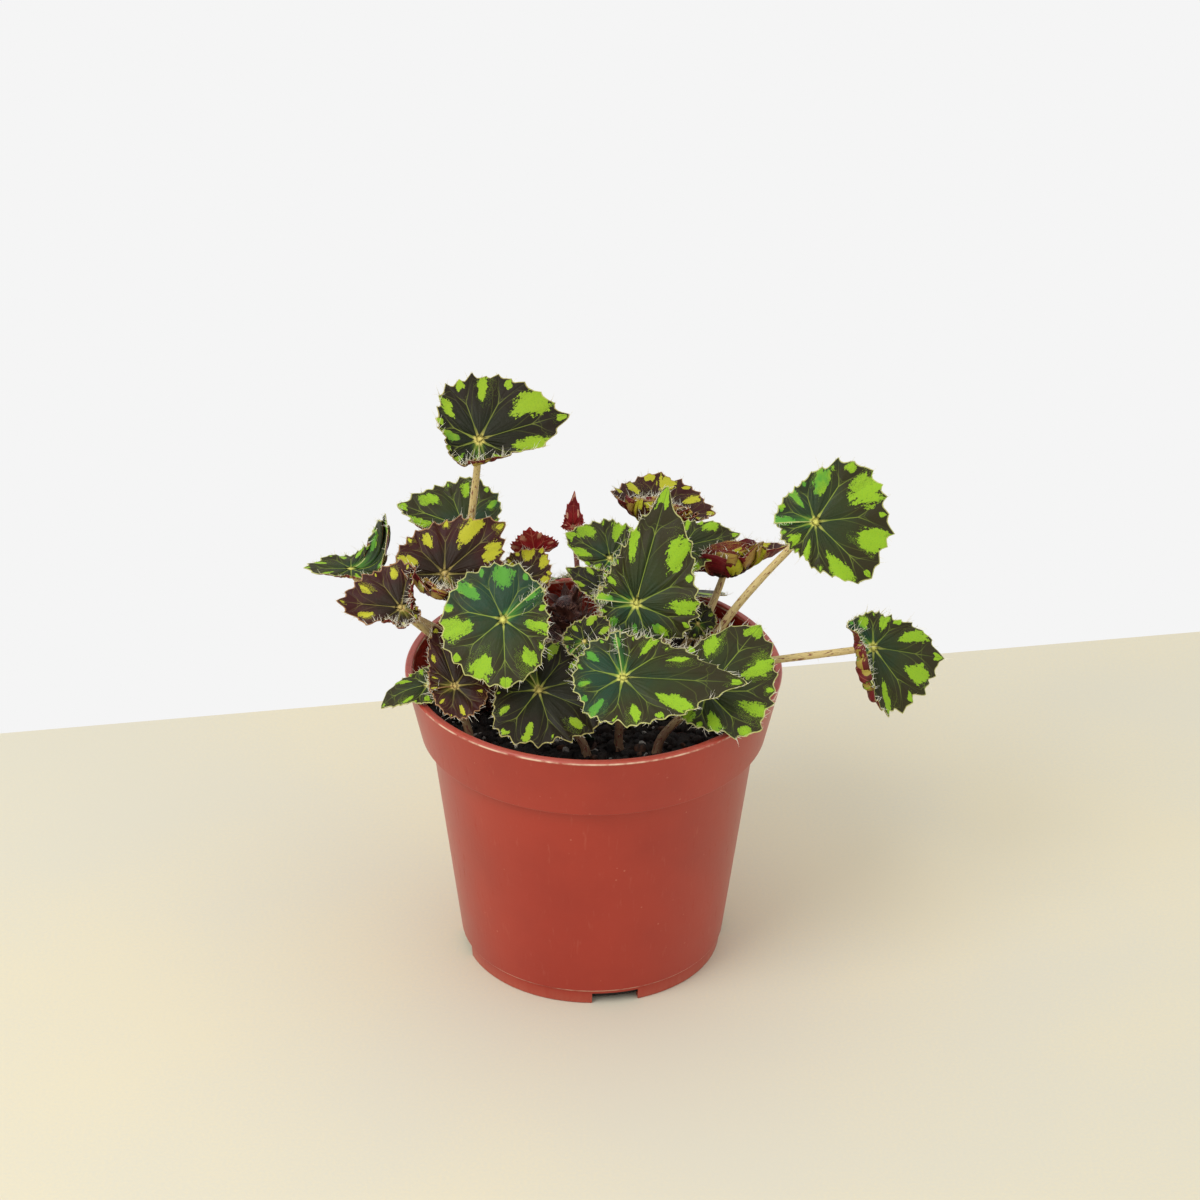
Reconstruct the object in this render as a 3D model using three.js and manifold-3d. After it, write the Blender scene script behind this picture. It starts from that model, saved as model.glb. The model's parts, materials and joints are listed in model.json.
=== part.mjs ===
// Potted eyelash begonia: a terracotta-red plastic nursery pot filled with soil, from which three short
// rhizomes carry lopsided, toothed leaves on thin stalks.
// Millimetres, +Z up. The origin is the centre of the pot's underside; the front of the plant looks along -Y.
import * as THREE from "three";
import Module from "manifold-3d";

const wasm = await Module();
wasm.setup();

// ---------- driving dimensions ----------
const RIM_RADIUS = 60; // outside of the lip
const POT_HEIGHT = 101;
const COLLAR_HEIGHT = 21.8; // lip top down to the crease under the collar
const COLLAR_DRAFT = 4.8; // how much narrower the collar is at its foot than at the lip
const LEDGE = 3.2; // how far the body steps in under the collar
const FOOT_RADIUS = 42;
const WALL = 1.2;
const LIP_WIDTH = 2.7; // top face of the lip
const SOIL_DROP = 14; // lip top down to the soil
const NOTCH_WIDTH = 15; // drain notches cut through the bottom corner
const NOTCH_HEIGHT = 4;
const GAP = 0.3; // air between pieces that touch
const BLADE_THICKNESS = 0.8;
const STALK_RADIUS = 1.25;
const YOUNG_STALK_RADIUS = 0.9;
const RHIZOME_RADIUS = 4.6;

const AROUND_POT = 48; // facets round the pot
const AROUND_STALK = 6;
const TEETH_PER_SIDE = 6; // teeth between the tip and the notch, on each side of a blade

// The plant is drawn for a 60 mm rim and grows with the pot.
const GROWTH = RIM_RADIUS / 60;
const SOIL_TOP = POT_HEIGHT - SOIL_DROP;
const UP = new THREE.Vector3(0, 0, 1);

const radians = (degrees) => (degrees * Math.PI) / 180;
const vec = (x, y, z) => new THREE.Vector3(x, y, z);

// ---------- materials ----------
const plain = (color, roughness) => new THREE.MeshStandardMaterial({ color, roughness, metalness: 0 });
const potPlastic = () => plain(0xa53e2d, 0.45);
const pottingSoil = () => plain(0x1d1814, 0.95);
const rhizomeBark = () => plain(0x4a2a24, 0.85);
const stalkSkin = () => plain(0xcdb97d, 0.55);
const youngStalkSkin = () => plain(0x8a4a3a, 0.6);
const BLADE_COLOURS = { green: 0x4f5e2c, dark: 0x3a3420, maroon: 0x4a261f, young: 0x82262a };
const bladeSkin = (kind) => plain(BLADE_COLOURS[kind], 0.5);

// ---------- helpers ----------
function named(name, geometry, material) {
  const mesh = new THREE.Mesh(geometry, material);
  mesh.name = name;
  return mesh;
}

// A solid of revolution about Z from a closed profile of [radius, height] points.
function turned(profile) {
  const points = [...profile, profile[0]].map(([r, z]) => new THREE.Vector2(r, z));
  const geometry = new THREE.LatheGeometry(points, AROUND_POT);
  geometry.rotateX(Math.PI / 2);
  return geometry;
}

// Welds equal corners, so that a closed surface reads as one solid.
function toManifold(geometry) {
  const flat = geometry.index ? geometry.toNonIndexed() : geometry;
  const position = flat.getAttribute("position");
  const seen = new Map();
  const corners = [];
  const faces = [];
  for (let i = 0; i < position.count; i += 1) {
    const p = [position.getX(i), position.getY(i), position.getZ(i)];
    const key = p.map((v) => Math.round(v * 1e4)).join(",");
    if (!seen.has(key)) {
      seen.set(key, seen.size);
      corners.push(...p);
    }
    faces.push(seen.get(key));
  }
  const kept = [];
  for (let i = 0; i < faces.length; i += 3) {
    const [a, b, c] = faces.slice(i, i + 3);
    if (a !== b && b !== c && c !== a) kept.push(a, b, c);
  }
  const mesh = new wasm.Mesh({
    numProp: 3,
    vertProperties: new Float32Array(corners),
    triVerts: new Uint32Array(kept),
  });
  return new wasm.Manifold(mesh);
}

function fromManifold(solid) {
  const mesh = solid.getMesh();
  const geometry = new THREE.BufferGeometry();
  geometry.setAttribute("position", new THREE.BufferAttribute(new Float32Array(mesh.vertProperties), 3));
  geometry.setIndex(Array.from(mesh.triVerts));
  geometry.computeVertexNormals();
  return geometry;
}

// A round bar of even thickness along a curve.
function barAlong(curve, radius, sides, steps) {
  const corners = [];
  for (let i = 0; i < sides; i += 1) {
    const a = (2 * Math.PI * i) / sides;
    corners.push(new THREE.Vector2(radius * Math.cos(a), radius * Math.sin(a)));
  }
  const shape = new THREE.Shape(corners);
  return new THREE.ExtrudeGeometry(shape, { steps, extrudePath: curve, bevelEnabled: false });
}

// ---------- pot ----------
// Outside of the wall from the foot up to the lip.
function outerWall() {
  const crease = POT_HEIGHT - COLLAR_HEIGHT;
  const collarFoot = RIM_RADIUS - COLLAR_DRAFT;
  return [
    [FOOT_RADIUS - 0.3, 0],
    [FOOT_RADIUS, 5],
    [FOOT_RADIUS + 0.8, 5.4],
    [collarFoot - LEDGE, crease - 0.7],
    [collarFoot - 0.3, crease],
    [collarFoot, crease + 0.3],
    [RIM_RADIUS - 0.2, POT_HEIGHT - 1.2],
    [RIM_RADIUS, POT_HEIGHT - 0.7],
    [RIM_RADIUS - 0.5, POT_HEIGHT],
  ];
}

// Inside of the wall from the floor up to the lip.
function innerWall() {
  const crease = POT_HEIGHT - COLLAR_HEIGHT;
  const collarInside = RIM_RADIUS - COLLAR_DRAFT - WALL;
  const lipInside = RIM_RADIUS - LIP_WIDTH;
  return [
    [FOOT_RADIUS - 0.3 - WALL, 1.6],
    [collarInside - LEDGE, crease + 0.4],
    [collarInside, crease + 1.4],
    [RIM_RADIUS - 0.9 - WALL, POT_HEIGHT - 4.4],
    [lipInside, POT_HEIGHT - 3.6],
    [lipInside, POT_HEIGHT - 0.6],
    [lipInside + 0.5, POT_HEIGHT],
  ];
}

function potShell() {
  const shell = [[0, 0], ...outerWall(), ...innerWall().reverse(), [0, 1.6]];
  let pot = toManifold(turned(shell));
  for (const heading of [-79.4, 10.6, 100.6, 190.6]) {
    const notch = new THREE.BoxGeometry(12, NOTCH_WIDTH, 2 * NOTCH_HEIGHT);
    notch.translate(FOOT_RADIUS, 0, 0).rotateZ(THREE.MathUtils.degToRad(heading));
    pot = pot.subtract(toManifold(notch));
  }
  return fromManifold(pot);
}

// Radius of the pot's inside at a height.
function insideRadius(height) {
  const wall = innerWall();
  for (let i = 1; i < wall.length; i += 1) {
    const [r0, z0] = wall[i - 1];
    const [r1, z1] = wall[i];
    if (height <= z1) return r0 + ((r1 - r0) * (height - z0)) / (z1 - z0);
  }
  return wall[wall.length - 1][0];
}

// One plug of soil, a gap clear of the wall and of the floor.
function soilPlug() {
  const floor = 1.6 + GAP;
  const bends = innerWall().filter(([, z]) => z > floor && z < SOIL_TOP);
  const side = bends.map(([r, z]) => [r - GAP, z + GAP]);
  return turned([
    [0, floor],
    [insideRadius(floor) - GAP, floor],
    ...side,
    [insideRadius(SOIL_TOP) - GAP, SOIL_TOP],
    [0, SOIL_TOP],
  ]);
}

// ---------- rhizomes ----------
// Each is a thick creeping stem; the middle one has grown upright.
const onSoil = (x, y, height) => vec(x * GROWTH, y * GROWTH, SOIL_TOP + GAP + height * GROWTH);
const lying = RHIZOME_RADIUS / GROWTH;
const RHIZOMES = {
  middle: new THREE.QuadraticBezierCurve3(onSoil(-4, 8, 0), onSoil(-4, 8, 16), onSoil(-10, 12, 32)),
  left: new THREE.LineCurve3(onSoil(-14, -2, lying), onSoil(-40, -6, lying)),
  right: new THREE.LineCurve3(onSoil(10, -2, lying), onSoil(36, 2, lying)),
};

// ---------- leaves ----------
// at: where the stalk meets the blade, across and deep from the pot's centre; rise: above the lip.
// face: which way the upper side looks, as [turn to the right of the front, lift above level].
// tip: direction of the tip in the blade, anticlockwise from the level line.
// length: stalk to tip; left, right, back: the other reaches as shares of it.
// full: how far the outline fills out between the tip and the sides, 1 for straight and 2 for round.
// notch: direction of the basal notch, anticlockwise from the tip.
// curl: how far the tip, heel, left and right parts turn up, in degrees.
// root: the rhizome and the share along it where the stalk starts, or a place on the soil.
const LEAVES = [
  { name: "tall", kind: "dark", at: [-36, 8], rise: 76, face: [0, 46], tip: 18, length: 29,
    left: 0.82, right: 0.45, back: 0.45, notch: 250, curl: { right: 75, heel: 50, left: -15 }, full: 1.6,
    root: [-44, 16] },
  { name: "back_left", kind: "green", at: [-42, 31], rise: 33, face: [0, 50], tip: 159, length: 23,
    left: 0.6, right: 0.8, back: 0.5, notch: 93, curl: { left: 70 }, full: 1.5, root: [-36, 22] },
  { name: "left_upper", kind: "maroon", at: [-47, -2], rise: 34, face: [0, 42], tip: 42, length: 25,
    left: 0.7, right: 0.66, back: 0.7, notch: 256, curl: { right: 40, heel: 60 }, full: 1.6,
    root: ["left", 0.6] },
  { name: "far_left", kind: "green", at: [-77, 10], rise: 29, face: [0, 86], tip: 182, length: 15,
    left: 0.5, right: 0.6, back: 1.4, notch: 206, curl: { heel: 90, tip: 5 }, full: 1.7,
    root: ["left", 0.75] },
  { name: "left_hood", kind: "maroon", at: [-60, -17], rise: 30, face: [0, 45], tip: 175, length: 20,
    left: 0.45, right: 0.8, back: 0.36, notch: 149, curl: { heel: 80, left: 40 }, full: 1.6,
    root: ["left", 0.9] },
  { name: "front_left", kind: "green", at: [-28, -24], rise: 30, face: [-5, 42], tip: -84, length: 22,
    left: 0.68, right: 0.92, back: 0.86, notch: 127, curl: { tip: -10 }, full: 2.1, root: ["left", 0.3] },
  { name: "left_rim", kind: "maroon", at: [-43, -29], rise: 9, face: [0, 55], tip: 108, length: 22,
    left: 0.38, right: 0.54, back: 0.55, notch: 83, curl: {}, full: 1.5, root: [-38, -30] },
  { name: "left_hanging", kind: "green", at: [-52, -20], rise: 4, face: [-40, 65], tip: -135, length: 18,
    left: 0.45, right: 0.45, back: 0.3, notch: 186, curl: { tip: -50 }, root: ["left", 0.99] },
  { name: "front_low", kind: "dark", at: [-17, -31], rise: 9, face: [0, 60], tip: -25, length: 25,
    left: 0.8, right: 0.88, back: 0.52, notch: 141, curl: {}, full: 1.5, root: [-2, -33] },
  { name: "front_centre", kind: "green", at: [9, -40], rise: 19, face: [0, 62], tip: -3, length: 38,
    left: 0.43, right: 0.5, back: 0.42, notch: 99, curl: { left: 15 }, root: [8, -28] },
  { name: "centre_upright", kind: "green", at: [13, -8], rise: 27, face: [-5, 25], tip: 77, length: 38,
    left: 0.34, right: 0.56, back: 0.3, notch: 96, curl: { tip: -10 }, root: ["right", 0.2] },
  { name: "front_right", kind: "green", at: [35, -33], rise: 10, face: [10, 60], tip: 47, length: 31,
    left: 0.5, right: 0.7, back: 0.44, notch: 128, curl: {}, full: 1.7, root: [20, -30] },
  { name: "back_centre", kind: "maroon", at: [19, 38], rise: 35, face: [0, 65], tip: -6, length: 20,
    left: 0.84, right: 0.7, back: 0.84, notch: 276, curl: { right: 70 }, full: 1.8, root: ["middle", 0.5] },
  { name: "back_right", kind: "green", at: [28, 17], rise: 34, face: [0, 60], tip: 16, length: 19,
    left: 0.55, right: 0.55, back: 0.52, notch: 188, curl: {}, full: 1.6, root: ["right", 0.5] },
  { name: "right_folded", kind: "maroon", at: [42, 22], rise: 25, face: [0, 60], tip: 8, length: 23,
    left: 0.45, right: 0.6, back: 0.6, notch: 230, curl: { right: 110 }, full: 1.6, root: ["right", 0.86] },
  { name: "far_right_upper", kind: "green", at: [69, 6], rise: 49, face: [5, 32], tip: -46, length: 25.5,
    left: 1.0, right: 0.48, back: 0.52, notch: 223, curl: { tip: -10 }, full: 2.1, root: ["right", 0.95] },
  { name: "far_right_lower", kind: "green", at: [88, -8], rise: 12, face: [35, 30], tip: -24, length: 27,
    left: 0.44, right: 0.85, back: 0.5, notch: 168, curl: { heel: 60 }, full: 1.9, root: ["right", 0.7] },
  { name: "centre_back", kind: "green", at: [5, 16], rise: 30, face: [-10, 45], tip: 155, length: 17,
    left: 0.4, right: 0.8, back: 0.48, notch: 151, curl: {}, full: 1.7, root: ["middle", 0.4] },
  { name: "centre_small", kind: "dark", at: [2, 4], rise: 26, face: [0, 50], tip: 149, length: 13,
    left: 0.4, right: 0.5, back: 0.33, notch: 180, curl: {}, root: ["middle", 0.25] },
  { name: "young_tip", kind: "young", at: [-7, 30], rise: 34, face: [0, 10], tip: 88, length: 12,
    left: 0.34, right: 0.34, back: 0.17, notch: 182, curl: { left: 50, right: 50 }, root: ["middle", 0.97] },
  { name: "young_fork", kind: "young", at: [-19, 16], rise: 33, face: [180, 20], tip: 83, length: 11,
    left: 0.8, right: 0.8, back: 0.2, notch: 187, curl: { left: 40, right: 40 }, root: ["middle", 0.9] },
  { name: "centre_left", kind: "maroon", at: [-22, 6], rise: 28, face: [0, 50], tip: 62, length: 12,
    left: 0.8, right: 0.72, back: 0.62, notch: 199, curl: {}, full: 1.7, root: ["middle", 0.55] },
  { name: "front_tucked", kind: "dark", at: [-3, -20], rise: 20, face: [0, 50], tip: 52, length: 11,
    left: 0.68, right: 0.68, back: 0.58, notch: 170, curl: {}, full: 1.8, root: [-6, -14] },
  { name: "right_tucked", kind: "dark", at: [33, 6], rise: 12, face: [0, 45], tip: 119, length: 10,
    left: 0.63, right: 0.7, back: 0.5, notch: 180, curl: {}, full: 1.8, root: [24, 13] },
  { name: "rear_left", kind: "dark", at: [-24, 40], rise: 9, face: [180, 68], tip: -40, length: 20,
    left: 0.7, right: 0.75, back: 0.6, notch: 150, curl: {}, full: 1.7, root: [-18, 26] },
  { name: "rear_middle", kind: "green", at: [2, 40], rise: 10, face: [180, 68], tip: -90, length: 22,
    left: 0.6, right: 0.6, back: 0.55, notch: 200, curl: {}, full: 1.7, root: [2, 30] },
  { name: "rear_right", kind: "dark", at: [24, 34], rise: 8, face: [170, 68], tip: -140, length: 22,
    left: 0.7, right: 0.7, back: 0.5, notch: 140, curl: {}, full: 1.7, root: [20, 24] },
];

// The blade's own axes: x to the tip, y to its left, z out of the upper side.
function bladeAxes(leaf) {
  const [turn, lift] = leaf.face.map(radians);
  const normal = vec(Math.sin(turn) * Math.cos(lift), -Math.cos(turn) * Math.cos(lift), Math.sin(lift));
  const level = vec(Math.cos(turn), Math.sin(turn), 0);
  const uphill = normal.clone().cross(level);
  const tip = radians(leaf.tip);
  const along = level.multiplyScalar(Math.cos(tip)).addScaledVector(uphill, Math.sin(tip));
  const across = normal.clone().cross(along);
  return { along, across, normal };
}

const joint = (leaf) => vec(leaf.at[0] * GROWTH, leaf.at[1] * GROWTH, POT_HEIGHT + leaf.rise * GROWTH);

// Smooth reach of the margin in a direction, as a share of the length: a drawn-out tip and a rounded back.
function reach(leaf, angle) {
  const side = Math.sin(angle) >= 0 ? leaf.left : leaf.right;
  const ahead = Math.cos(angle) >= 0;
  const power = ahead ? leaf.full ?? 1.4 : 2;
  const along = Math.abs(Math.cos(angle)) / (ahead ? 1 : leaf.back);
  const across = Math.abs(Math.sin(angle)) / side;
  return (along ** power + across ** power) ** (-1 / power);
}

// Moves a distance and a height onto an arc that starts a third of the way out to the span.
function rolled(distance, height, span, turn) {
  const size = Math.abs(distance);
  const start = span / 3;
  if (size <= start || turn === 0) return [distance, height];
  const bend = radians(turn) / (span - start);
  const angle = bend * (size - start);
  const out = start + Math.sin(angle) / bend - height * Math.sin(angle);
  const up = (1 - Math.cos(angle)) / bend + height * Math.cos(angle);
  return [Math.sign(distance) * out, up];
}

// A point of the blade: direction round the joint, share of the way to the margin, height above the mid-skin.
function bladePoint(leaf, angle, share, height, tooth) {
  const length = leaf.length * GROWTH;
  const r = reach(leaf, angle) * length * share * tooth;
  const { tip = 0, heel = 0, left = 0, right = 0 } = leaf.curl;
  const flat = [r * Math.cos(angle), r * Math.sin(angle)];
  const ahead = flat[0] >= 0;
  const toLeft = flat[1] >= 0;
  const sideSpan = length * (toLeft ? leaf.left : leaf.right);
  const [y, lifted] = rolled(flat[1], height, sideSpan, toLeft ? left : right);
  const [x, z] = rolled(flat[0], lifted, length * (ahead ? 1 : leaf.back), ahead ? tip : heel);
  return vec(x, y, z);
}

// A thin closed skin: joint, half-way ring and toothed margin, above and below, open at the notch.
function bladeSolid(leaf) {
  const { along, across, normal } = bladeAxes(leaf);
  const place = new THREE.Matrix4().makeBasis(along, across, normal).setPosition(joint(leaf));
  const notch = radians(leaf.notch % 360);
  const halfOpening = radians(5);
  const steps = 2 * TEETH_PER_SIDE;
  const directions = [];
  for (let i = steps; i >= 1; i -= 1) {
    directions.push({ angle: ((notch - halfOpening) * i) / steps, peak: i % 2 === 0 });
  }
  directions.push({ angle: 0, peak: true });
  for (let i = 1; i <= steps; i += 1) {
    directions.push({ angle: (-(2 * Math.PI - notch - halfOpening) * i) / steps, peak: i % 2 === 0 });
  }
  const count = directions.length;
  const corners = [];
  for (const height of [BLADE_THICKNESS / 2, -BLADE_THICKNESS / 2]) {
    corners.push(bladePoint(leaf, 0, 0, height, 1));
    for (const share of [0.5, 1]) {
      for (const { angle, peak } of directions) {
        const tooth = peak || share < 1 ? 1 : 0.88;
        corners.push(bladePoint(leaf, angle, share, height, tooth));
      }
    }
  }
  const skin = 1 + 2 * count;
  const half = (i) => 1 + i;
  const edge = (i) => 1 + count + i;
  const faces = [];
  for (let i = 0; i + 1 < count; i += 1) {
    const upper = [
      [0, half(i + 1), half(i)],
      [half(i), half(i + 1), edge(i + 1)],
      [half(i), edge(i + 1), edge(i)],
    ];
    for (const [a, b, c] of upper) faces.push(a, b, c, skin + a, skin + c, skin + b);
  }
  const outline = [0, half(0)];
  for (let i = 0; i < count; i += 1) outline.push(edge(i));
  outline.push(half(count - 1));
  for (let i = 0; i < outline.length; i += 1) {
    const a = outline[i];
    const b = outline[(i + 1) % outline.length];
    faces.push(a, b, skin + b, a, skin + b, skin + a);
  }
  const geometry = new THREE.BufferGeometry();
  geometry.setAttribute("position", new THREE.Float32BufferAttribute(corners.flatMap((p) => p.toArray()), 3));
  geometry.setIndex(faces);
  geometry.applyMatrix4(place);
  geometry.computeVertexNormals();
  return geometry;
}

const stalkRadius = (leaf) => (leaf.kind === "young" ? YOUNG_STALK_RADIUS : STALK_RADIUS);

// Where a stalk starts, a gap off its rhizome or off the soil, and which way it leaves.
function stalkFoot(leaf) {
  const [first, second] = leaf.root;
  if (typeof first === "number") return { foot: onSoil(first, second, 0), leave: UP.clone() };
  const rhizome = RHIZOMES[first];
  const axis = rhizome.getPoint(second);
  const tangent = rhizome.getTangent(second);
  const leave = joint(leaf).sub(axis);
  leave.addScaledVector(tangent, -leave.dot(tangent)).normalize();
  return { foot: axis.addScaledVector(leave, RHIZOME_RADIUS + GAP), leave };
}

function stalkBar(leaf) {
  const radius = stalkRadius(leaf);
  const { normal } = bladeAxes(leaf);
  const { foot, leave } = stalkFoot(leaf);
  const top = joint(leaf);
  const arrive = top.clone().sub(foot).normalize().addScaledVector(normal, 0.9).normalize();
  const lean = Math.sqrt(1 - arrive.dot(normal) ** 2);
  top.addScaledVector(normal, -(BLADE_THICKNESS / 2 + GAP + radius * lean));
  const span = top.distanceTo(foot);
  const curve = new THREE.CubicBezierCurve3(
    foot,
    foot.clone().addScaledVector(leave, 0.3 * span),
    top.clone().addScaledVector(arrive, -0.3 * span),
    top,
  );
  return barAlong(curve, radius, AROUND_STALK, 8);
}

// ---------- assembly ----------
const begonia = new THREE.Group();
begonia.add(named("pot", potShell(), potPlastic()));
begonia.add(named("soil", soilPlug(), pottingSoil()));
for (const [side, curve] of Object.entries(RHIZOMES)) {
  const steps = side === "middle" ? 6 : 2;
  begonia.add(named(`rhizome_${side}`, barAlong(curve, RHIZOME_RADIUS, 8, steps), rhizomeBark()));
}
for (const leaf of LEAVES) {
  const skin = leaf.kind === "young" ? youngStalkSkin() : stalkSkin();
  begonia.add(named(`blade_${leaf.name}`, bladeSolid(leaf), bladeSkin(leaf.kind)));
  begonia.add(named(`stalk_${leaf.name}`, stalkBar(leaf), skin));
}

export default begonia;
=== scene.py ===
"""Eyelash begonia in a terracotta-red pot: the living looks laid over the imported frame.

Each leaf, stem and rhizome is rebuilt finely on its own frame node, so it stays where the frame has it.
Lengths are in metres unless a name ends in _mm. +Z is up and the plant's front faces -Y.
"""

import json
import logging
import math
from abc import ABC, abstractmethod
from dataclasses import dataclass, field
from enum import Enum
from typing import Any, Optional, Sequence, Union

import bmesh
import bpy
import numpy as np
from mathutils import Matrix, Vector


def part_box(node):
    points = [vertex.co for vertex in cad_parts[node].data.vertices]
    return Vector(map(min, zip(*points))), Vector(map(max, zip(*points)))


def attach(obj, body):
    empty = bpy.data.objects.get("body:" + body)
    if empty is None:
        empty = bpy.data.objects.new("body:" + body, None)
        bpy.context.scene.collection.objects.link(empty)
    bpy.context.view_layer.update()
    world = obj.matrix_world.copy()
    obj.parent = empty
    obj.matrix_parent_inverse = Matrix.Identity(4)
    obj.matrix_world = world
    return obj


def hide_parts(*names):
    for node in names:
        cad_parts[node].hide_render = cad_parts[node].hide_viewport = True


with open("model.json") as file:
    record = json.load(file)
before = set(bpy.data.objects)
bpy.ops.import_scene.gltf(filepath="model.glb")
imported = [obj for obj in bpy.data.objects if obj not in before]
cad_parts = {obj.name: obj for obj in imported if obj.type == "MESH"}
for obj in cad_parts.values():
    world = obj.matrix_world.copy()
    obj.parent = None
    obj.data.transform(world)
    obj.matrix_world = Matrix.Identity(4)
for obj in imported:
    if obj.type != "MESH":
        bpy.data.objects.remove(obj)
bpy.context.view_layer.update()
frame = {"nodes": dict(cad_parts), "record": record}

log = logging.getLogger("begonia")
MM = 0.001
TIP_RAY, LAST_RAY = 12, 24  # rays of a frame blade, counted round its joint from one side of the heel
Rgb = tuple[float, float, float]
Array = np.ndarray


def tint(red: float, green: float, blue: float) -> Rgb:
    """Turns a colour as a screen shows it, 0 to 255, into the linear colour that light uses.

    Args:
        red: Red, 0 to 255.
        green: Green, 0 to 255.
        blue: Blue, 0 to 255.

    Returns:
        The linear colour, 0 to 1.
    """
    shares = [c / 255 for c in (red, green, blue)]
    return tuple(c / 12.92 if c <= 0.04045 else ((c + 0.055) / 1.055) ** 2.4 for c in shares)


# ---------------------------------------------------------------- finishes


class Shade:
    """One output of a node, with arithmetic: an expression on values adds its Math nodes."""

    def __init__(self, bench: "Bench", socket: bpy.types.NodeSocket) -> None:
        """Wraps an output socket of a bench's material."""
        self.bench = bench
        self.socket = socket

    def also(self, output: str) -> "Shade":
        """Another output of the same node."""
        return Shade(self.bench, self.socket.node.outputs[output])

    def __add__(self, other: "Value") -> "Shade":
        """Sum."""
        return self.bench.math("ADD", self, other)

    def __sub__(self, other: "Value") -> "Shade":
        """Difference."""
        return self.bench.math("SUBTRACT", self, other)

    def __rsub__(self, other: "Value") -> "Shade":
        """Difference from a number."""
        return self.bench.math("SUBTRACT", other, self)

    def __mul__(self, other: "Value") -> "Shade":
        """Product."""
        return self.bench.math("MULTIPLY", self, other)

    def __truediv__(self, other: "Value") -> "Shade":
        """Quotient."""
        return self.bench.math("DIVIDE", self, other)

    def __mod__(self, other: "Value") -> "Shade":
        """Remainder, never below 0."""
        return self.bench.math("FLOORED_MODULO", self, other)

    def __pow__(self, other: "Value") -> "Shade":
        """Power."""
        return self.bench.math("POWER", self, other)

    def __abs__(self) -> "Shade":
        """Size without its sign."""
        return self.bench.math("ABSOLUTE", self)

    __radd__ = __add__
    __rmul__ = __mul__

    def floor(self) -> "Shade":
        """The whole number below."""
        return self.bench.math("FLOOR", self)

    def above(self, other: "Value") -> "Shade":
        """The larger of two values."""
        return self.bench.math("MAXIMUM", self, other)

    def below(self, other: "Value") -> "Shade":
        """The smaller of two values."""
        return self.bench.math("MINIMUM", self, other)

    def ease(self, start: "Value", end: "Value") -> "Shade":
        """Goes smoothly from 0 at start to 1 at end, whichever of the two is larger."""
        ends = {0: self, 1: start, 2: end, 3: 0.0, 4: 1.0}
        return self.bench.add("ShaderNodeMapRange", {"interpolation_type": "SMOOTHSTEP"}, ends)


Value = Union[Shade, float]
Colour = Union[Shade, Rgb]


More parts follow.
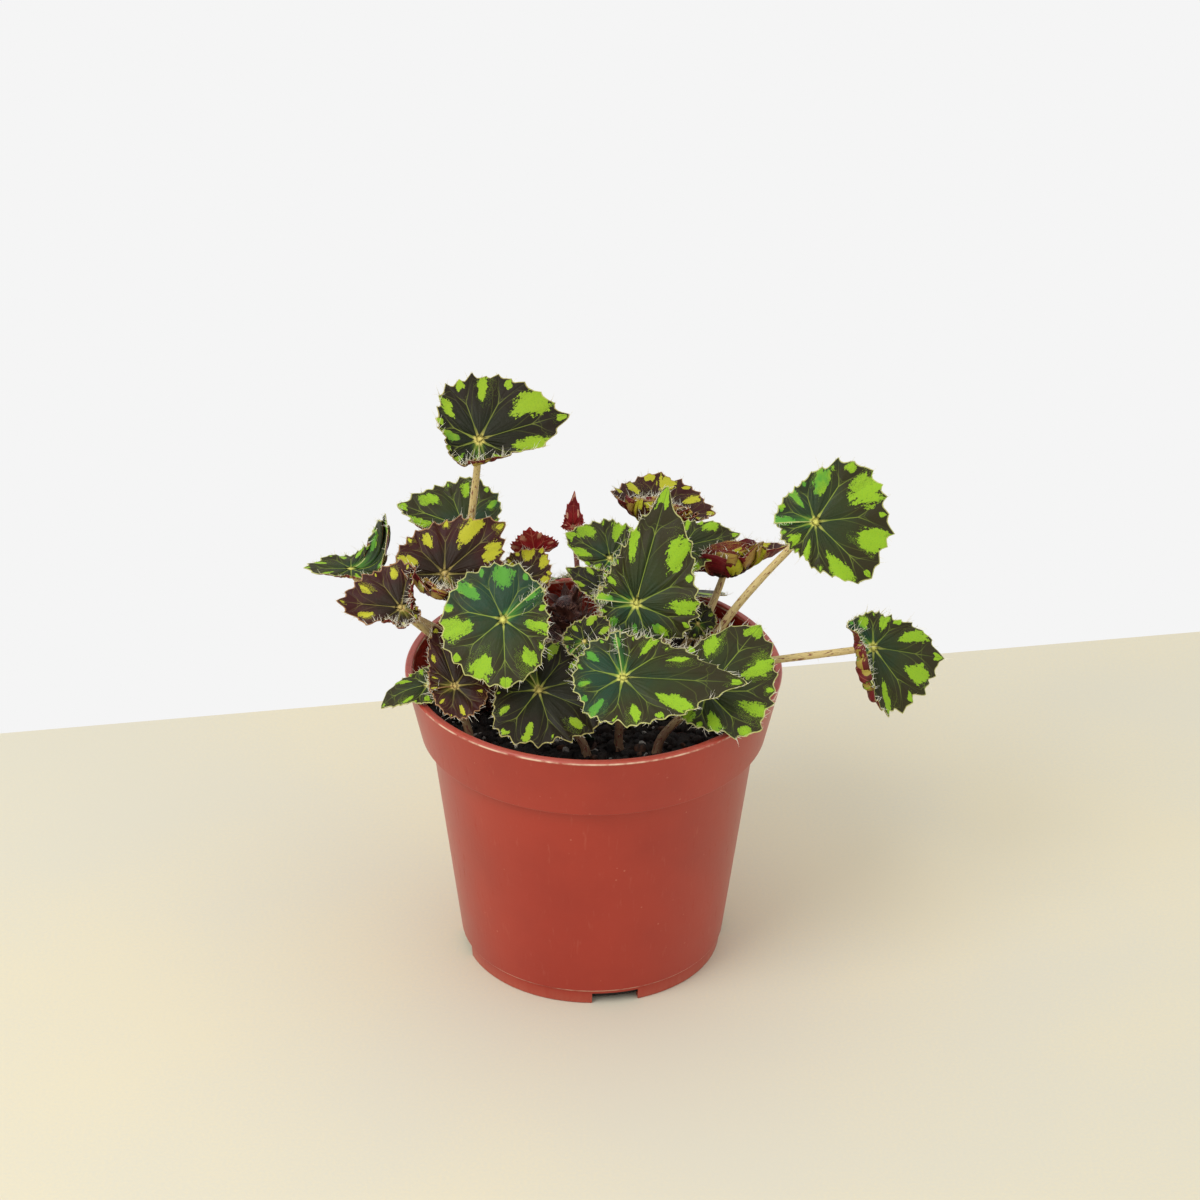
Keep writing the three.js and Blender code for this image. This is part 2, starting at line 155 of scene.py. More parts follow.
class Bench:
    """Builds one node material."""

    def __init__(self, name: str) -> None:
        """Starts an empty node material of that name."""
        self.material = bpy.data.materials.new(name)
        self.material.use_nodes = True
        self.tree = self.material.node_tree
        self.tree.nodes.clear()

    def add(
        self,
        kind: str,
        settings: Optional[dict[str, Any]] = None,
        inputs: Optional[dict[Union[int, str], Any]] = None,
        output: Union[int, str] = 0,
    ) -> Shade:
        """Adds a node: its settings first, then the values or links of its sockets.

        Args:
            kind: The node's type.
            settings: Its own settings.
            inputs: Socket name or number, with a number, a colour or a Shade.
            output: Which output to hand back.

        Returns:
            The chosen output.
        """
        node = self.tree.nodes.new(kind)
        for key, value in (settings or {}).items():
            setattr(node, key, value)
        for key, value in (inputs or {}).items():
            socket = node.inputs[key]
            if isinstance(value, Shade):
                self.tree.links.new(value.socket, socket)
            elif isinstance(value, tuple) and socket.type == "RGBA":
                socket.default_value = (*value, 1.0)
            else:
                socket.default_value = value
        return Shade(self, node.outputs[output])

    def math(self, operation: str, *values: Value) -> Shade:
        """One Math node on one to three values."""
        return self.add("ShaderNodeMath", {"operation": operation}, dict(enumerate(values)))

    def blend(self, share: Value, first: Colour, second: Colour) -> Shade:
        """Mixes two colours, from the first at 0 to the second at 1."""
        return self.add("ShaderNodeMix", {"data_type": "RGBA"}, {0: share, 6: first, 7: second}, 2)

    def place(self) -> Shade:
        """The point in the frame's own axes, in metres."""
        return self.add("ShaderNodeTexCoord", output="Object")

    def split(self, vector: Shade) -> tuple[Shade, Shade, Shade]:
        """The three parts of a vector."""
        parts = self.add("ShaderNodeSeparateXYZ", inputs={0: vector})
        return parts, parts.also("Y"), parts.also("Z")

    def carried(self, name: str) -> tuple[Shade, Shade, Shade]:
        """The three numbers that a mesh carries under a name."""
        return self.split(self.add("ShaderNodeAttribute", {"attribute_name": name}, output="Vector"))

    def point(self, x: Value, y: Value, z: Value) -> Shade:
        """A vector from three values."""
        return self.add("ShaderNodeCombineXYZ", inputs={0: x, 1: y, 2: z})

    def cloud(self, where: Shade, scale: float, detail: float = 2.0, rough: float = 0.5) -> Shade:
        """Soft noise from 0 to 1."""
        sizes = {"Vector": where, "Scale": scale, "Detail": detail, "Roughness": rough}
        return self.add("ShaderNodeTexNoise", None, sizes)

    def cells(self, where: Shade, scale: float) -> Shade:
        """Distance to the nearest of scattered points."""
        return self.add("ShaderNodeTexVoronoi", None, {"Vector": where, "Scale": scale})

    def chance(self, where: Shade) -> Shade:
        """A random number from 0 to 1, the same wherever the vector is the same."""
        return self.add("ShaderNodeTexWhiteNoise", {"noise_dimensions": "3D"}, {"Vector": where})

    def relief(self, height: Shade, depth_mm: float, strength: float = 1.0) -> Shade:
        """A bumped normal for a height from 0 to 1."""
        sizes = {"Height": height, "Distance": depth_mm * MM, "Strength": strength}
        return self.add("ShaderNodeBump", None, sizes)

    def close(
        self, colour: Colour, roughness: Value, normal: Optional[Shade] = None, **fixed: float
    ) -> bpy.types.Material:
        """Ends the material in its surface shader.

        Args:
            colour: Base colour.
            roughness: Roughness.
            normal: A bumped normal.
            fixed: Other sockets, with _ for a space, that are the same all over.

        Returns:
            The finished material.
        """
        inputs: dict[Union[int, str], Any] = {"Base Color": colour, "Roughness": roughness}
        if normal is not None:
            inputs["Normal"] = normal
        inputs.update({key.replace("_", " "): value for key, value in fixed.items()})
        shader = self.add("ShaderNodeBsdfPrincipled", None, inputs)
        node = self.tree.nodes.new("ShaderNodeOutputMaterial")
        self.tree.links.new(shader.socket, node.inputs["Surface"])
        return self.material


class Finish(ABC):
    """A finish that can be made into a material."""

    def material(self, name: str) -> bpy.types.Material:
        """Makes the material.

        Args:
            name: The material's name.

        Returns:
            The finished material.
        """
        return self.paint(Bench(name))

    @abstractmethod
    def paint(self, b: Bench) -> bpy.types.Material:
        """Adds the finish's nodes to an empty material and ends it."""


@dataclass(frozen=True)
class VeinPlan:
    """The palmate veins. A sector is the space from one main vein to the next, and the tip's vein is at 0."""

    spread_deg: float = 52.0
    last_gap: float = 0.35
    fork_at: float = 0.58
    fork_reach: float = 0.27

    def from_vein(self, sector: Array, share: Array, arc: Array) -> Array:
        """Distance from the nearest main vein or its fork.

        Args:
            sector: Main veins counted from the tip's.
            share: Share of the way from the joint to the margin.
            arc: Length of one sector there.

        Returns:
            The distances, in the unit of arc.
        """
        off = np.abs(np.mod(sector + 0.5, 1.0) - 0.5)
        fork = np.maximum(share - self.fork_at, 0) * self.fork_reach / (1 - self.fork_at)
        return np.abs(off - fork) * arc


VEINS = VeinPlan()


@dataclass(frozen=True)
class LeafPaint(Finish):
    """Colours of one kind of blade."""

    upper: Rgb
    edge: Rgb
    sheen: Rgb
    patch: Rgb
    patch_deep: Rgb
    vein: Rgb
    star: Rgb
    rim: Rgb
    under: Rgb
    under_patch: Rgb
    under_vein: Rgb

    def _veins(self, net: Sequence[Shade], radius: Shade, growth: Shade) -> tuple[Shade, Shade, Shade]:
        """Main veins with their forks, finer side veins, and the distance from the main ones in mm."""
        sector, share, arc = net
        off = abs((sector + 0.5) % 1.0 - 0.5)
        fork = (share - VEINS.fork_at).above(0.0) * (VEINS.fork_reach / (1 - VEINS.fork_at))
        past_fork = share.ease(VEINS.fork_at, VEINS.fork_at + 0.08)
        straight = off * arc + abs(sector).ease(0.45, 0.55) * past_fork * 9.0
        away = (abs(off - fork) * arc).below(straight)
        half_width = ((1.0 - share) * 0.1 + 0.05 + radius.ease(5.5, 0.6) * 0.42) * growth
        main = away.ease(half_width + 0.14, half_width - 0.04)
        side = abs(off - (share - 0.3).above(0.0) * 0.62) * arc
        twig = abs(off - (share - 0.66).above(0.0) * 1.2) * arc
        fine = side.below(twig).ease(0.24, 0.04) * share.ease(0.3, 0.4) * 0.14
        return main, fine, away

    def _patches(self, b: Bench, net: Sequence[Shade], here: Shade, seed: Shade, lime: Shade) -> Shade:
        """Pale patches: a long ragged one in most sectors out to the margin, and small ones in the forks."""
        sector, share, _ = net
        off = abs((sector + 0.5) % 1.0 - 0.5)
        cell = sector.floor()
        luck = b.chance(b.point(cell, seed * 91.0, 1.0))
        other = b.chance(b.point(cell, seed * 91.0, 2.0))
        third = b.chance(b.point(cell, seed * 91.0, 5.0))
        fingers = b.cloud(b.point(sector * 9.0, share * 2.6, seed * 17.0), 1.7, 3.0, 0.7)
        ragged = (b.cloud(here, 0.42, 2.0) - 0.5) * 2.0 + (b.cloud(here, 1.7, 4.0, 0.7) - 0.5) * 2.0
        ragged = ragged + (fingers - 0.5) * 2.4
        across = abs(sector % 1.0 - third * 0.22 - 0.39) / ((luck * 0.17 + 0.09) * lime + 0.01)
        along = (share - 0.74 - other * 0.08) / ((third * 0.14 + 0.14) * lime + 0.01)
        large = 1.0 - across * across - along * along + ragged
        knot = (sector + 0.5).floor()
        fate = b.chance(b.point(knot, seed * 53.0, 3.0))
        across = off / (fate * 0.12 + 0.03)
        along = (share - 0.92) / (fate * 0.06 + 0.045)
        small = 0.9 - across * across - along * along + ragged * 0.6 - (1.0 - lime).above(0.0) * 1.5
        freckle = b.cloud(here, 3.1, 2.0, 0.6).ease(0.36, 0.3) * large.ease(1.1, 0.3)
        return large.above(small).ease(0.0, 0.16) * (1.0 - freckle * 0.8)

    def paint(self, b: Bench) -> bpy.types.Material:
        """Paints veins, patches between them, the pale margin and the underside, with a painted sheen and a
        painted highlight along the heel's sinus.
        """
        net = b.carried("net")
        sector, share, _ = net
        x, y, seed = b.carried("flat")
        side, rim, growth = b.carried("edge")
        lime, sheen_amount, notch = b.carried("mood")
        here = b.point(x, y, seed * 37.0)
        coarse = b.cloud(here, 0.16, 2.0)
        wander = b.cloud(here, 0.7, 3.0, 0.6)
        radius = (x * x + y * y) ** 0.5 / growth
        main, fine, away = self._veins(net, radius, growth)
        patch = self._patches(b, net, here, seed, lime) * (1.0 - main * 0.5)

        skin = b.blend((share + coarse * 0.8 - 0.45).ease(0.3, 0.75), self.upper, self.edge)
        # Painted sheen: a teal reflection painted into the colour, strongest on the heel's side, near the
        # joint and by the notch, scaled for each leaf.
        heel = x.ease(2.0, -9.0) * 0.55 + share.ease(0.9, 0.2) * 0.45
        sheen_mask = (heel + coarse * 0.8 + notch.ease(7.0, 1.0) * 0.35 - 0.62).ease(0.0, 0.7)
        sheen_mask = sheen_mask * sheen_amount * (wander * 0.9 + 0.5)
        skin = b.blend(sheen_mask.below(1.0), skin, self.sheen)
        skin = b.blend(b.cloud(here, 1.1, 4.0, 0.7).ease(0.5, 0.75) * 0.45, skin, self.edge)
        skin = b.blend(b.cells(here, 2.3).ease(0.2, 0.08) * wander * 0.14, skin, self.vein)
        # Painted sheen along the main veins near the joint.
        skin = b.blend(away.ease(1.6, 0.2) * (1.0 - share) * 0.3, skin, self.sheen)
        # The patches turn to patch_deep under the painted sheen, and at random in small cells.
        lush = b.blend((sheen_mask * 1.1 + coarse * 0.5).ease(0.3, 0.9), self.patch, self.patch_deep)
        lush = b.blend(b.cells(here, 2.0).ease(0.55, 0.2) * 0.2, lush, self.patch_deep)
        # Painted highlight: lime along the sinus edges of the heel, stronger under the painted sheen.
        sinus_highlight = notch.ease(3.4, 0.4) * share.ease(0.75, 0.1) * (sheen_mask * 0.9 + coarse * 0.4).below(0.75)
        top = b.blend(patch.above(sinus_highlight), skin, lush)
        top = b.blend(fine, top, self.vein)
        line = b.blend(share.ease(0.03, 0.2), self.star, self.vein)
        fate = b.chance(b.point((sector + 0.5).floor(), seed * 71.0, 4.0))
        top = b.blend(main * (share.ease(0.95, 0.45) * 0.75 + 0.12) * (fate * 0.5 + 0.5), top, line)
        top = b.blend((radius + wander * 1.6 + (away - 0.3) * 0.9).ease(2.9, 1.5), top, self.star)
        top = b.blend(rim.ease(0.42, 0.08) * (wander * 0.9 + 0.3).below(1.0), top, self.rim)

        below = b.blend(b.cloud(here, 0.5, 3.0).ease(0.3, 0.8) * 0.6, self.under, self.edge)
        below = b.blend(patch * share.ease(0.55, 0.85) * 0.6, below, self.under_patch)
        below = b.blend(main.above(fine * 2.0) * 0.6, below, self.under_vein)
        colour = b.blend(side.ease(0.2, -0.2), top, below)

        troughs = away.below(1.0) * share.ease(0.03, 0.22) * 0.3
        quilt = b.cloud(here, 0.9, 3.0, 0.6) * 0.55 + b.cloud(here, 3.5, 2.0) * 0.18 + troughs
        gloss = 0.36 + coarse * 0.16 + patch * 0.06 + wander * 0.1
        return b.close(colour, gloss, b.relief(quilt, 0.3, 0.9), Specular_IOR_Level=0.2)


class LeafKind(Enum):
    """Kinds of blade, named by the frame's material slot."""

    GREEN = "blade_green"
    DARK = "blade_dark"
    MAROON = "blade_maroon"
    YOUNG = "blade_young"


LEAF_PAINTS: dict[LeafKind, LeafPaint] = {
    LeafKind.GREEN: LeafPaint(
        upper=tint(48, 56, 24), edge=tint(48, 44, 20), sheen=tint(34, 62, 42), patch=tint(142, 182, 34),
        patch_deep=tint(84, 150, 50), vein=tint(142, 160, 58), star=tint(216, 212, 108),
        rim=tint(208, 208, 130), under=tint(104, 30, 34), under_patch=tint(190, 180, 76),
        under_vein=tint(166, 104, 80),
    ),
    # Painted shade: the dark kind is the green kind with its ground, edge and sheen darkened, for low leaves
    # that get less light.
    LeafKind.DARK: LeafPaint(
        upper=tint(29, 29, 11), edge=tint(32, 24, 10), sheen=tint(22, 40, 22), patch=tint(142, 172, 34),
        patch_deep=tint(84, 138, 42), vein=tint(132, 142, 54), star=tint(214, 198, 108),
        rim=tint(196, 186, 112), under=tint(98, 26, 30), under_patch=tint(190, 176, 76),
        under_vein=tint(160, 100, 76),
    ),
    LeafKind.MAROON: LeafPaint(
        upper=tint(42, 27, 15), edge=tint(56, 18, 14), sheen=tint(36, 44, 24), patch=tint(182, 180, 42),
        patch_deep=tint(144, 162, 42), vein=tint(136, 124, 60), star=tint(206, 182, 110),
        rim=tint(178, 136, 92), under=tint(112, 26, 32), under_patch=tint(200, 176, 80),
        under_vein=tint(172, 96, 76),
    ),
    LeafKind.YOUNG: LeafPaint(
        upper=tint(148, 34, 36), edge=tint(116, 24, 30), sheen=tint(120, 54, 44), patch=tint(222, 170, 140),
        patch_deep=tint(196, 124, 102), vein=tint(202, 112, 92), star=tint(220, 172, 132),
        rim=tint(170, 58, 54), under=tint(142, 30, 34), under_patch=tint(224, 172, 138),
        under_vein=tint(200, 124, 102),
    ),
}


@dataclass(frozen=True)
class Roll:
    """A stretch of margin that curls up over the blade, placed by its angle from the tip."""

    toward_deg: float
    half_width_deg: float
    turn_deg: float
    depth: float


@dataclass(frozen=True)
class LeafMood:
    """How one leaf differs from its kind."""

    lime: float = 0.85
    # How strong the painted sheen is on this leaf.
    sheen_amount: float = 0.5
    teeth: float = 1.0
    wave_mm: float = 0.6
    lashes: float = 1.0
    aged_stalk: float = 1.0
    rolls: tuple[Roll, ...] = ()


LEAF_MOODS: dict[str, LeafMood] = {
    "tall": LeafMood(
        lime=1.05, sheen_amount=0.35, wave_mm=1.0, lashes=0.6, aged_stalk=0.1, rolls=(Roll(125, 90, 85, 0.3),)
    ),
    "back_left": LeafMood(lime=0.85, sheen_amount=1.2, lashes=0.8, aged_stalk=0.4, rolls=(Roll(300, 60, 120, 0.3),)),
    "left_upper": LeafMood(lime=1.0, sheen_amount=0.1, wave_mm=1.2, rolls=(Roll(140, 95, 150, 0.62),)),
    "far_left": LeafMood(lime=0.9, sheen_amount=0.5, rolls=(Roll(160, 75, 75, 0.95), Roll(280, 60, 90, 0.3))),
    "left_hood": LeafMood(
        lime=0.6, sheen_amount=0.2, wave_mm=1.1, rolls=(Roll(275, 60, 110, 0.35), Roll(150, 60, 120, 0.5))
    ),
    "front_left": LeafMood(lime=1.05, sheen_amount=1.5, teeth=0.8, wave_mm=0.8),
    "left_rim": LeafMood(lime=0.5, sheen_amount=0.1, wave_mm=0.8),
    "left_hanging": LeafMood(lime=1.0, sheen_amount=0.4),
    "front_low": LeafMood(lime=0.7, sheen_amount=0.15),
    "front_centre": LeafMood(lime=0.8, sheen_amount=1.3, wave_mm=0.9),
    "centre_upright": LeafMood(lime=0.85, sheen_amount=0.9, wave_mm=0.8, lashes=1.5),
    "front_right": LeafMood(lime=1.05, sheen_amount=0.3),
    "back_centre": LeafMood(
        lime=1.15, sheen_amount=0.2, wave_mm=1.1, aged_stalk=0.4, rolls=(Roll(105, 110, 165, 0.75),)
    ),
    "back_right": LeafMood(lime=1.15, sheen_amount=0.9, wave_mm=0.9, aged_stalk=0.4),
    "right_folded": LeafMood(lime=1.1, sheen_amount=0.3, wave_mm=1.0, rolls=(Roll(80, 100, 150, 0.85),)),
    "far_right_upper": LeafMood(lime=1.2, sheen_amount=0.6, wave_mm=0.9, lashes=0.5, aged_stalk=0.1),
    "far_right_lower": LeafMood(
        lime=1.0, sheen_amount=1.3, wave_mm=0.8, lashes=0.8, aged_stalk=0.1, rolls=(Roll(135, 70, 150, 0.45),)
    ),
    "centre_back": LeafMood(lime=1.2, sheen_amount=1.3, lashes=1.5),
    "centre_small": LeafMood(lime=0.7, sheen_amount=0.3, lashes=1.8),
    "young_tip": LeafMood(lime=0.7, sheen_amount=0.1, teeth=1.8, wave_mm=0.4, lashes=0.4),
    "young_fork": LeafMood(lime=0.9, sheen_amount=0.1, teeth=1.4, wave_mm=0.4, lashes=0.4),
    "centre_left": LeafMood(lime=1.1, sheen_amount=0.3, lashes=1.8),
    "right_tucked": LeafMood(lime=0.5, lashes=1.6),
}


@dataclass(frozen=True)
class StemSkin(Finish):
    """Pale skin with red-brown dashes along it, browner towards the foot."""

    pale: Rgb
    foot: Rgb
    dash: Rgb

    def paint(self, b: Bench) -> bpy.types.Material:
        """Paints a stem by its own run and turn."""
        cosine, sine, run = b.carried("stem")
        share, seed, old = b.carried("along")
        around = b.point(cosine * 1.2 + seed * 9.0, sine * 1.2, run * 0.3)
        thin = b.point(cosine * 3.2, sine * 3.2 + seed * 5.0, run * 0.16)
        streaks = b.cloud(thin, 1.0, 3.0)
        dashes = b.cloud(around, 2.3, 1.0, 0.3).ease(0.575, 0.64)
        grouped = b.cloud(b.point(cosine, sine, run * 0.22 + seed * 3.0), 1.1).ease(0.36, 0.55)
        aged = (share + (b.cloud(around, 0.5) - 0.5) * 0.5).ease(0.85, 0.1) * old
        skin = b.blend(aged * 0.9, self.pale, self.foot)
        skin = b.blend(streaks.ease(0.5, 0.85) * (old * 0.3 + 0.1), skin, self.foot)
        colour = b.blend(dashes * grouped * 0.85, skin, self.dash)
        relief = b.relief(streaks + dashes * 0.3, 0.14, 0.8)
        return b.close(colour, 0.4 + streaks * 0.2 + aged * 0.1, relief, Specular_IOR_Level=0.45)


OLD_STALK = StemSkin(tint(206, 184, 122), tint(132, 103, 82), tint(112, 40, 34))
YOUNG_STALK = StemSkin(tint(150, 86, 66), tint(104, 50, 42), tint(90, 28, 28))


@dataclass(frozen=True)
class MottledSkin(Finish):
    """Two or three mottled colours over a bumpy surface, for bark, scales, grit, hairs and soil."""

    dark: Rgb
    pale: Rgb
    fleck: Rgb
    scale: float
    flecks: float
    depth_mm: float
    roughness: float

    def paint(self, b: Bench) -> bpy.types.Material:
        """Mottled, flecked and bumpy."""
        here = b.place()
        soft = b.cloud(here, self.scale, 5.0, 0.65)
        fine = b.cloud(here, self.scale * 4.6, 4.0, 0.75)
        pores = b.cells(here, self.scale * 3.1)
        colour = b.blend(soft.ease(0.34, 0.68), self.dark, self.pale)
        colour = b.blend(fine.ease(0.6, 0.76) * self.flecks, colour, self.fleck)
        height = soft * 0.6 + fine * 0.4 + pores * 0.25
        gloss = self.roughness + (soft - 0.5) * 0.3
        return b.close(colour, gloss, b.relief(height, self.depth_mm), Specular_IOR_Level=0.4)


RHIZOME_BARK = MottledSkin(tint(38, 14, 15), tint(86, 42, 36), tint(158, 118, 98), 330.0, 0.4, 0.6, 0.3)
PAPERY_SCALE = MottledSkin(tint(50, 22, 21), tint(104, 64, 52), tint(190, 152, 124), 380.0, 0.7, 0.2, 0.5)
HAIR_GLOSS = MottledSkin(tint(250, 248, 232), tint(232, 222, 192), tint(255, 254, 248), 240.0, 0.6, 0.01, 0.4)
DARK_HAIR = MottledSkin(tint(190, 150, 130), tint(132, 84, 72), tint(232, 214, 196), 300.0, 0.6, 0.01, 0.4)
PEAT = MottledSkin(tint(15, 12, 11), tint(40, 30, 24), tint(92, 82, 72), 300.0, 0.45, 0.9, 0.75)
GRIT = MottledSkin(tint(96, 94, 90), tint(206, 203, 194), tint(238, 236, 228), 620.0, 0.6, 0.3, 0.7)
# Dark green mottles for the fallen scrap.
DARK_LEAF_SCRAP = MottledSkin(tint(14, 34, 22), tint(30, 64, 38), tint(96, 112, 60), 420.0, 0.4, 0.2, 0.5)
BARK_CRUMB = MottledSkin(tint(36, 22, 16), tint(92, 60, 40), tint(140, 104, 74), 600.0, 0.5, 0.4, 0.7)


@dataclass(frozen=True)
class PotPlastic(Finish):
    """Satin terracotta-red moulded plastic."""

    red: Rgb = tint(166, 50, 32)
    deep: Rgb = tint(156, 44, 28)
    dust: Rgb = tint(206, 134, 108)
    # Pale cream of the lines along the edges: a painted highlight, partly wear.
    highlight_and_wear: Rgb = tint(232, 206, 176)

    def paint(self, b: Bench) -> bpy.types.Material:
        """Moulded plastic with faint flow marks, fine scratches, dust at the foot and the lip, and painted
        highlight lines, partly wear, along the foot's and the lip's edges.
        """
        here = b.place()
        x, y, z = b.split(here)
        soft = b.cloud(here, 26.0, 4.0, 0.6)
        flow = b.cloud(b.point(x, y, z * 0.15), 700.0, 3.0, 0.6)
        rings = b.cloud(b.point(x * 0.04, y * 0.04, z), 1300.0, 2.0)
        scratch = b.cloud(b.point(x * 3.0, y * 3.0, z * 0.4 + x * 2.0), 190.0, 5.0, 0.8)
        specks = b.cells(here, 230.0).ease(0.1, 0.05) * b.cloud(here, 60.0).ease(0.5, 0.62)
        worn = z.ease(0.006, 0.0) * 0.35 + z.ease(0.0995, 0.1012) * 0.3
        # Thin pale lines along the foot's edge and the lip's outer edge, broken by noise: a painted
        # highlight, partly pale wear.
        highlight_and_wear = abs(z - 0.0052).ease(0.0005, 0.0002) * 0.7 + abs(z - 0.1003).ease(0.0004, 0.0001) * 0.8
        highlight_and_wear = highlight_and_wear * b.cloud(here, 90.0, 4.0, 0.7).ease(0.38, 0.6)
        colour = b.blend(soft.ease(0.3, 0.7), self.deep, self.red)
        veil = flow.ease(0.6, 0.8) * 0.1 + specks * 0.35 + scratch.ease(0.66, 0.78) * 0.12 + worn * flow
        colour = b.blend(veil.below(0.7), colour, self.dust)
        colour = b.blend(highlight_and_wear, colour, self.highlight_and_wear)
        gloss = 0.34 + soft * 0.12 + scratch.ease(0.56, 0.72) * 0.14
        height = flow * 0.3 + rings * 0.25 + scratch * 0.2 + soft * 0.8
        shine = {"Specular_IOR_Level": 0.35, "Coat_Weight": 0.2, "Coat_Roughness": 0.22}
        return b.close(colour, gloss, b.relief(height, 0.1, 0.6), **shine)


@dataclass(frozen=True)
class FloorCard(Finish):
    """Cream card with a faint grain."""

    cream: Rgb = tint(221, 212, 184)
    grey: Rgb = tint(213, 208, 189)

    def paint(self, b: Bench) -> bpy.types.Material:
        """Faintly mottled card."""
        here = b.place()
        wide = b.cloud(here, 5.0, 3.0)
        grain = b.cloud(here, 900.0, 2.0)
        colour = b.blend((wide + (grain - 0.5) * 0.4).ease(0.3, 0.7), self.cream, self.grey)
        return b.close(colour, 0.7 + wide * 0.1, b.relief(grain, 0.05, 0.5), Specular_IOR_Level=0.3)


# ---------------------------------------------------------------- mesh helpers


def unit(vectors: Array) -> Array:
    """Vectors made one long, along the last axis."""
    return vectors / np.maximum(np.linalg.norm(vectors, axis=-1, keepdims=True), 1e-12)


def link(name: str, data: bpy.types.ID) -> bpy.types.Object:
    """Puts a mesh, a lamp or a camera into the scene, as a new object."""
    thing = bpy.data.objects.new(name, data)
    bpy.context.scene.collection.objects.link(thing)
    return thing


def lay_mesh(
    name: str, points: Array, faces: Sequence[Array], material: bpy.types.Material
) -> bpy.types.Object:
    """Makes a mesh object, smooth all over.

    Args:
        name: The object's name.
        points: Corners, one row each, in metres.
        faces: Arrays of faces, each with one number of corners in its rows.
        material: Its material.

    Returns:
        The object, linked to the scene.
    """
    mesh = bpy.data.meshes.new(name)
    rows = [row for group in faces for row in np.asarray(group, int).tolist()]
    mesh.from_pydata(np.asarray(points, float).tolist(), [], rows)
    mesh.polygons.foreach_set("use_smooth", np.ones(len(mesh.polygons), bool))
    mesh.materials.append(material)
    mesh.update()
    return link(name, mesh)


def carry(piece: bpy.types.Object, name: str, *columns: Array) -> None:
    """Stores three numbers for each corner of a mesh under a name, for its material to read.

    Args:
        piece: The mesh object.
        name: The attribute's name.
        columns: Three arrays, or single numbers.
    """
    count = len(piece.data.vertices)
    values = np.stack([np.broadcast_to(c, count) for c in columns], axis=1)
    layer = piece.data.attributes.new(name, "FLOAT_VECTOR", "POINT")
    layer.data.foreach_set("vector", values.astype(np.float32).ravel())


def settle(piece: bpy.types.Object, slot: str, *nodes: str) -> None:
    """Fixes a piece to the frame's one body, in place of the nodes that it stands for.

    Args:
        piece: The object.
        slot: Not used.
        nodes: Frame nodes that it replaces.
    """
    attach(piece, "root")
    if nodes:
        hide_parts(*nodes)
    log.info("%s: %d corners", piece.name, len(piece.data.vertices))


def welded(node: str) -> tuple[Array, Array]:
    """A frame node's corners with doubles merged, and its triangles.

    Args:
        node: The node's name.

    Returns:
        Corners in metres, and three corner numbers for each triangle.
    """
    mesh = frame["nodes"][node].data
    mesh.calc_loop_triangles()
    points = np.array([v.co for v in mesh.vertices], float)
    triangles = np.array([t.vertices for t in mesh.loop_triangles], int)
    keys = np.round(points / 2e-6).astype(np.int64)
    _, first, merged = np.unique(keys, axis=0, return_index=True, return_inverse=True)
    return points[first], merged.reshape(-1)[triangles]


def spline(keys: Array, at: Array) -> Array:
    """A smooth curve through evenly spaced rows of numbers, straight beyond its ends.

    Args:
        keys: One row for each whole number.
        at: Where to read it, 0 being the first row.

    Returns:
        One row for each place.
    """
    last = len(keys) - 1
    padded = np.concatenate([2 * keys[:1] - keys[1:2], keys, 2 * keys[-1:] - keys[-2:-1]])
    inside = np.clip(at, 0, last)
    cell = np.minimum(inside.astype(int), last - 1)
    t = (inside - cell)[:, None]
    a, b, c, d = (padded[cell + k] for k in range(4))
    curve = 0.5 * (2 * b + (c - a) * t + (2 * a - 5 * b + 4 * c - d) * t**2 + (3 * b - a - 3 * c + d) * t**3)
    slope = np.where((at < 0)[:, None], padded[2] - padded[1], padded[-2] - padded[-3])
    return curve + slope * (at - inside)[:, None]


def ripple(at: Array, seed: float) -> Array:
    """A smooth wandering value near -1 to 1 along a line."""
    return sum(np.sin(at * 0.9 * 1.83**k + seed * (3.1 + k) + 1.7 * k) * 0.62**k for k in range(3)) / 1.6


def lumps(points: Array, waves_per_m: float, seed: int) -> Array:
    """Smooth noise near -1 to 1 in space, made of crossed waves.

    Args:
        points: One row for each place, in metres.
        waves_per_m: How fine it is.
        seed: Chooses the pattern.

    Returns:
        One value for each place.
    """
    rng = np.random.default_rng(seed)
    value = np.zeros(len(points))
    for k in range(7):
        direction = unit(rng.normal(size=3)) * (0.6 + 0.35 * k) * waves_per_m * math.tau
        value += np.sin(points @ direction + rng.uniform(0, math.tau)) / (1 + 0.45 * k)
    return value / 2.2


def bridge(first: Array, second: Array, closed: bool = True) -> Array:
    """Quads between two rows of corner numbers, turning the same way as first then second going out.

    Args:
        first: The inner row.
        second: The outer row.
        closed: True when the last corner joins the first.

    Returns:
        Four corner numbers for each quad.
    """
    quads = np.stack([first, np.roll(first, -1), np.roll(second, -1), second], axis=1)
    return quads if closed else quads[:-1]


def grid_quads(number: Array) -> Array:
    """Quads between the neighbouring rows of an open grid of corner numbers."""
    return np.concatenate([bridge(low, high, False) for low, high in zip(number, number[1:])])


def tube(number: Array, foot: int, head: int) -> list[Array]:
    """Faces that join each ring to the next, and fans that close both ends.

    Args:
        number: Corner numbers, one row for each ring.
        foot: The corner in the middle of the first ring.
        head: The corner in the middle of the last ring.

    Returns:
        Groups of faces.
    """
    low, high = number[0], number[-1]
    return [bridge(inner, outer) for inner, outer in zip(number, number[1:])] + [
        np.stack([np.roll(low, -1), low, np.full_like(low, foot)], axis=1),
        np.stack([high, np.roll(high, -1), np.full_like(high, head)], axis=1),
    ]


